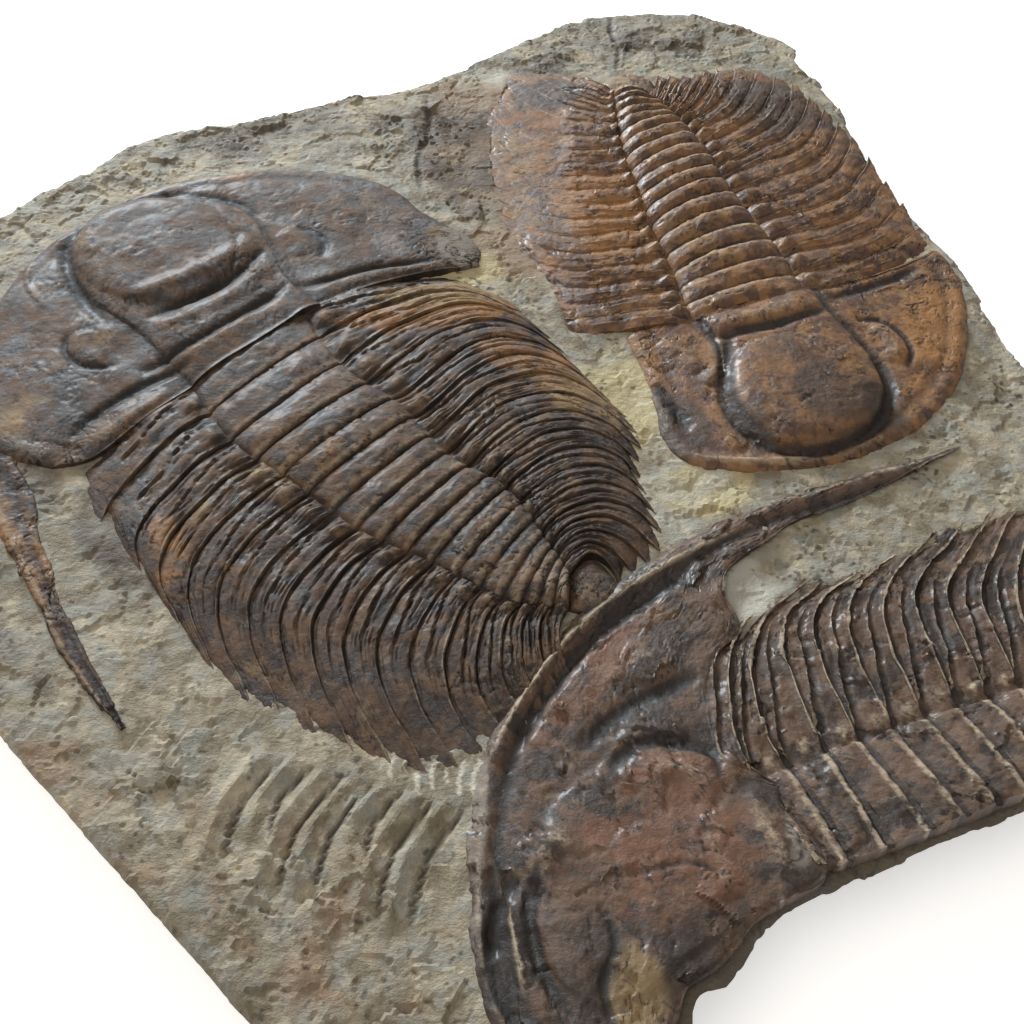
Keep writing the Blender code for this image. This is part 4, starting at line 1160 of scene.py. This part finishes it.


# In each finish, deep is painted shade for the furrows and also the own dark of the cracks, light is a
# painted highlight on raised bumps, and worn is the pale of dusted crests with a painted highlight on them.
SHELL = {"furrows": 0.9, "crests": 0.6, "cracks": 0.8, "grain": 4.0, "flaky": 1.3, "bump_depth": 0.9,
         "facet_tone": 0.16, "edge_angle": 38.0, "gloss": (0.38, 0.85), "coat": 0.15}
FINISHES = {
    "matrix": {
        "dark": (0.17, 0.14, 0.092), "middle": (0.41, 0.35, 0.25), "light": (0.62, 0.56, 0.43),
        "other": (0.20, 0.20, 0.175), "chipped": (0.42, 0.345, 0.235), "rust": (0.22, 0.145, 0.085),
        "ochre": (0.42, 0.35, 0.19), "soot": (0.070, 0.052, 0.036), "ash": (0.40, 0.38, 0.32),
        "deep": (0.045, 0.036, 0.025), "worn": (0.60, 0.56, 0.46),
        "furrows": 0.75, "crests": 0.75, "cracks": 0.25, "grain": 7.0, "flaky": 1.5, "bump_depth": 2.0,
        "facet_tone": 0.3, "edge_angle": 17.0, "gloss": (0.6, 0.9), "coat": 0.0,
    },
    "a": {
        **SHELL, "furrows": 0.95, "gloss": (0.45, 1.0), "coat": 0.05,
        "dark": (0.026, 0.015, 0.010), "middle": (0.056, 0.032, 0.021), "light": (0.165, 0.108, 0.064),
        "other": (0.11, 0.060, 0.030), "chipped": (0.13, 0.092, 0.058), "rust": (0.23, 0.11, 0.036),
        "ochre": (0.23, 0.145, 0.062), "soot": (0.020, 0.013, 0.009), "ash": (0.20, 0.17, 0.14),
        "deep": (0.006, 0.004, 0.003), "worn": (0.32, 0.24, 0.165),
    },
    "b": {
        **SHELL,
        "dark": (0.080, 0.038, 0.020), "middle": (0.145, 0.070, 0.033), "light": (0.36, 0.22, 0.11),
        "other": (0.235, 0.115, 0.040), "chipped": (0.19, 0.12, 0.065), "rust": (0.27, 0.125, 0.038),
        "ochre": (0.30, 0.19, 0.08), "soot": (0.050, 0.030, 0.019), "ash": (0.235, 0.175, 0.11),
        "deep": (0.011, 0.007, 0.005), "worn": (0.42, 0.31, 0.20),
    },
    "c": {
        **SHELL, "crests": 0.95,
        "dark": (0.034, 0.022, 0.016), "middle": (0.092, 0.056, 0.036), "light": (0.25, 0.17, 0.108),
        "other": (0.125, 0.070, 0.042), "chipped": (0.15, 0.105, 0.064), "rust": (0.150, 0.067, 0.036),
        "ochre": (0.25, 0.17, 0.08), "soot": (0.026, 0.018, 0.014), "ash": (0.21, 0.18, 0.15),
        "deep": (0.009, 0.006, 0.005), "worn": (0.40, 0.32, 0.23),
    },
}


def finish(name, groups):
    """The material of the rock or of one trilobite's shell."""
    values = FINISHES[name]
    material = bpy.data.materials.new("Finish " + name)
    material.use_nodes = True
    tree = material.node_tree
    shader = tree.nodes["Principled BSDF"]
    shader.inputs["Specular IOR Level"].default_value = 0.4
    place = add(tree, "ShaderNodeTexCoord", output="Object")
    drawn = add(tree, "ShaderNodeMapping", {"Vector": place, "Rotation": (0.0, 0.0, 0.5),
                                            "Scale": (1.0, values["flaky"], 1.0)})
    fleck = noise(tree, drawn, values["grain"], 5.0, 0.74)
    tones = {tone.title(): (*values[tone], 1.0) for tone in BODY_TONES_AND_HIGHLIGHT + TONES}
    mottle = fleck + (attribute(tree, "flake") - 0.5) * values["facet_tone"]
    toned = use(tree, groups["toning"], {"Fleck": mottle, **tones})
    # worn holds the colour with painted shade in the furrows and pale wear with a painted highlight on the
    # crests, and the crests' share of dust.
    worn = use(tree, groups["wear"], {
        "Place": place, "Fleck": fleck, "Color": toned["Color"], "Deep": (*values["deep"], 1.0),
        "Worn": (*values["worn"], 1.0), "Furrow Amount": values["furrows"],
        "Crest Amount": values["crests"], "Crack Amount": values["cracks"]})
    low, high = values["gloss"]
    dull = attribute(tree, "cloud") * 0.55 + fleck * 0.7 - 0.1
    rough = dull * (high - low) + low + worn["Dust"] * 0.2 + attribute(tree, "ash") * 0.25
    inputs = {"Height": fleck, "Distance": values["bump_depth"] * MM}
    feed(tree, shader.inputs["Base Color"], worn["Color"])
    feed(tree, shader.inputs["Roughness"], rough)
    feed(tree, shader.inputs["Normal"], add(tree, "ShaderNodeBump", inputs))
    if values["coat"]:
        feed(tree, shader.inputs["Coat Weight"], (1.0 - worn["Dust"]) * values["coat"])
        shader.inputs["Coat Roughness"].default_value = 0.25
    return material


FLOOR_HALF = 6
FLOOR_GLOW = 0.45
SKY_TINT = (1.0, 0.97, 0.93, 1)
SKY_STRENGTH = 0.44
# Lamps are (name, place, size, power, tint) and face the middle of the slab
LAMPS = [
    ("Window", (-0.96, 2.0, 0.8), 0.64, 100.0, (0.84, 0.93, 1.0)),
    ("Fill", (-0.5, -0.4, 1.3), 1.2, 8.0, (1.0, 0.95, 0.88)),
]
CAMERA_PLACE = (0.014, -0.3535, 0.349)
CAMERA_TILT = 40.0
CAMERA_LENS = 41.3
CAMERA_SENSOR = 36.0
NEAREST_SEEN = 0.01


def studio():
    """The pale floor, the soft light and the camera."""
    mesh = bpy.data.meshes.new("Floor")
    corners = [(-1, -1), (1, -1), (1, 1), (-1, 1)]
    mesh.from_pydata([(x * FLOOR_HALF, y * FLOOR_HALF, 0) for x, y in corners], [], [(0, 1, 2, 3)])
    floor = bpy.data.objects.new("Floor", mesh)
    bpy.context.scene.collection.objects.link(floor)
    paint = bpy.data.materials.new("Pale floor")
    paint.use_nodes = True
    inputs = paint.node_tree.nodes["Principled BSDF"].inputs
    inputs["Base Color"].default_value = (0.92, 0.92, 0.92, 1)
    inputs["Roughness"].default_value = 0.9
    inputs["Emission Color"].default_value = (1, 1, 1, 1)
    inputs["Emission Strength"].default_value = FLOOR_GLOW
    mesh.materials.append(paint)

    world = bpy.data.worlds.new("Studio")
    bpy.context.scene.world = world
    world.use_nodes = True
    world.node_tree.nodes["Background"].inputs["Color"].default_value = SKY_TINT
    world.node_tree.nodes["Background"].inputs["Strength"].default_value = SKY_STRENGTH

    for name, place, size, power, tint in LAMPS:
        lamp = bpy.data.lights.new(name, "AREA")
        lamp.size = size
        lamp.energy = power
        lamp.color = tint
        holder = bpy.data.objects.new(name, lamp)
        holder.location = place
        holder.rotation_euler = (-Vector(place)).to_track_quat("-Z", "Y").to_euler()
        bpy.context.scene.collection.objects.link(holder)

    camera = bpy.data.cameras.new("Camera")
    camera.sensor_width = CAMERA_SENSOR
    camera.lens = CAMERA_LENS
    camera.clip_start = NEAREST_SEEN
    stand = bpy.data.objects.new("Camera", camera)
    stand.location = CAMERA_PLACE
    stand.rotation_euler = (math.radians(CAMERA_TILT), 0.0, 0.0)
    bpy.context.scene.collection.objects.link(stand)
    bpy.context.scene.camera = stand
    bpy.context.scene.view_settings.view_transform = "Standard"


# Amounts for the relief trees: heights, depths, widths and sizes are millimetres, the rest are shares
RIBS = {
    "a": {"Ring Rise": 1.3, "Ring Step": 0.5, "Rib Rise": 0.8, "Rib Step": 0.5, "Groove Depth": 0.8,
          "Groove Width": 0.38, "Furrow Depth": 1.2, "Furrow Start": 0.22, "Furrow Swing": 0.3,
          "Crest Rise": 0.8, "Crest Width": 0.5, "Crest Least": 0.35, "Plait Depth": 0.5},
}
RIBS["b"] = {**RIBS["a"], "Ring Rise": 1.9, "Ring Step": 0.3, "Rib Rise": 1.0, "Rib Step": 0.3,
             "Groove Depth": 0.7, "Groove Width": 0.45, "Furrow Depth": 0.3, "Crest Rise": 1.1,
             "Plait Depth": 0.2}
RIBS["c"] = {"Ring Rise": 0.9, "Ring Step": 0.8, "Rib Rise": 0.2, "Rib Step": 0.3, "Groove Depth": 1.0,
             "Groove Width": 0.7, "Furrow Depth": 1.3, "Furrow Start": 0.1, "Furrow Swing": 0.45,
             "Crest Rise": 1.9, "Crest Width": 0.7, "Crest Least": 0.9, "Plait Depth": 0.05}
ROCK_WEATHER = {
    "Lump Height": 0.8, "Lump Size": 26.0, "Facet Height": 0.7, "Facet Size": 16.0, "Plate Height": 1.1,
    "Plate Size": 13.0, "Layer Height": 0.35, "Layer Size": 30.0, "Chip Depth": 0.6, "Chip Size": 12.0,
    "Chip Share": 0.38, "Grain Height": 0.4, "Grain Size": 5.0, "Crack Depth": 0.4, "Crack Width": 0.6,
    "Cloud Size": 32.0, "Stain Start": 0.56,
}
SHELL_WEATHER = {
    "Lump Height": 0.5, "Lump Size": 15.0, "Facet Height": 0.35, "Facet Size": 12.0, "Plate Height": 0.3,
    "Plate Size": 13.0, "Layer Height": 0.06, "Layer Size": 22.0, "Chip Depth": 0.3, "Chip Size": 10.0,
    "Chip Share": 0.4, "Grain Height": 0.2, "Grain Size": 3.0, "Crack Depth": 0.45, "Crack Width": 1.1,
    "Cloud Size": 20.0, "Stain Start": 0.72,
}
WEATHER = {
    "matrix": ROCK_WEATHER,
    "a": {**SHELL_WEATHER, "Lump Height": 0.9, "Lump Size": 32.0, "Facet Height": 0.12,
          "Plate Height": 0.15, "Chip Depth": 0.2, "Grain Height": 0.06},
    "spine": {**SHELL_WEATHER, "Facet Height": 0.4, "Plate Height": 0.4, "Plate Size": 8.0,
              "Chip Depth": 0.25, "Grain Height": 0.3, "Grain Size": 4.0},
    "b": {**SHELL_WEATHER, "Facet Height": 0.5, "Plate Size": 10.0, "Chip Depth": 0.4},
    "c": {**SHELL_WEATHER, "Lump Height": 1.0, "Facet Height": 0.8, "Plate Height": 0.7,
          "Plate Size": 17.0, "Layer Height": 0.15, "Chip Depth": 0.5, "Grain Height": 0.3},
}


def main():
    """Builds every piece, gives it its relief and material, and ties it to the solid that it shows."""
    groups = {"toning": toning_group(), "wear": furrow_shade_and_crest_group()}
    finishes = {name: finish(name, groups) for name in FINISHES}
    ribbing, weathering = ribbing_tree(), weathering_tree()
    pieces = [("matrix_slab", "matrix", slab()), ("cheek_spine_a", "a", cheek_spine())]
    for trilobite in "abc":
        body = thorax(trilobite)
        give_relief(body, ribbing, finishes[trilobite], RIBS[trilobite])
        pieces.append(("thorax_" + trilobite, trilobite, body))
        pieces.append(("head_shield_" + trilobite, trilobite, head(trilobite)))
        pieces.append(("tail_shield_" + trilobite, trilobite, tail(trilobite)))
    for node, shell, piece in pieces:
        wear = "spine" if node == "cheek_spine_a" else shell
        give_relief(piece, weathering, finishes[shell], WEATHER[wear], FINISHES[shell]["edge_angle"])
        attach(piece, "root")
        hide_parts(node)
    studio()


main()
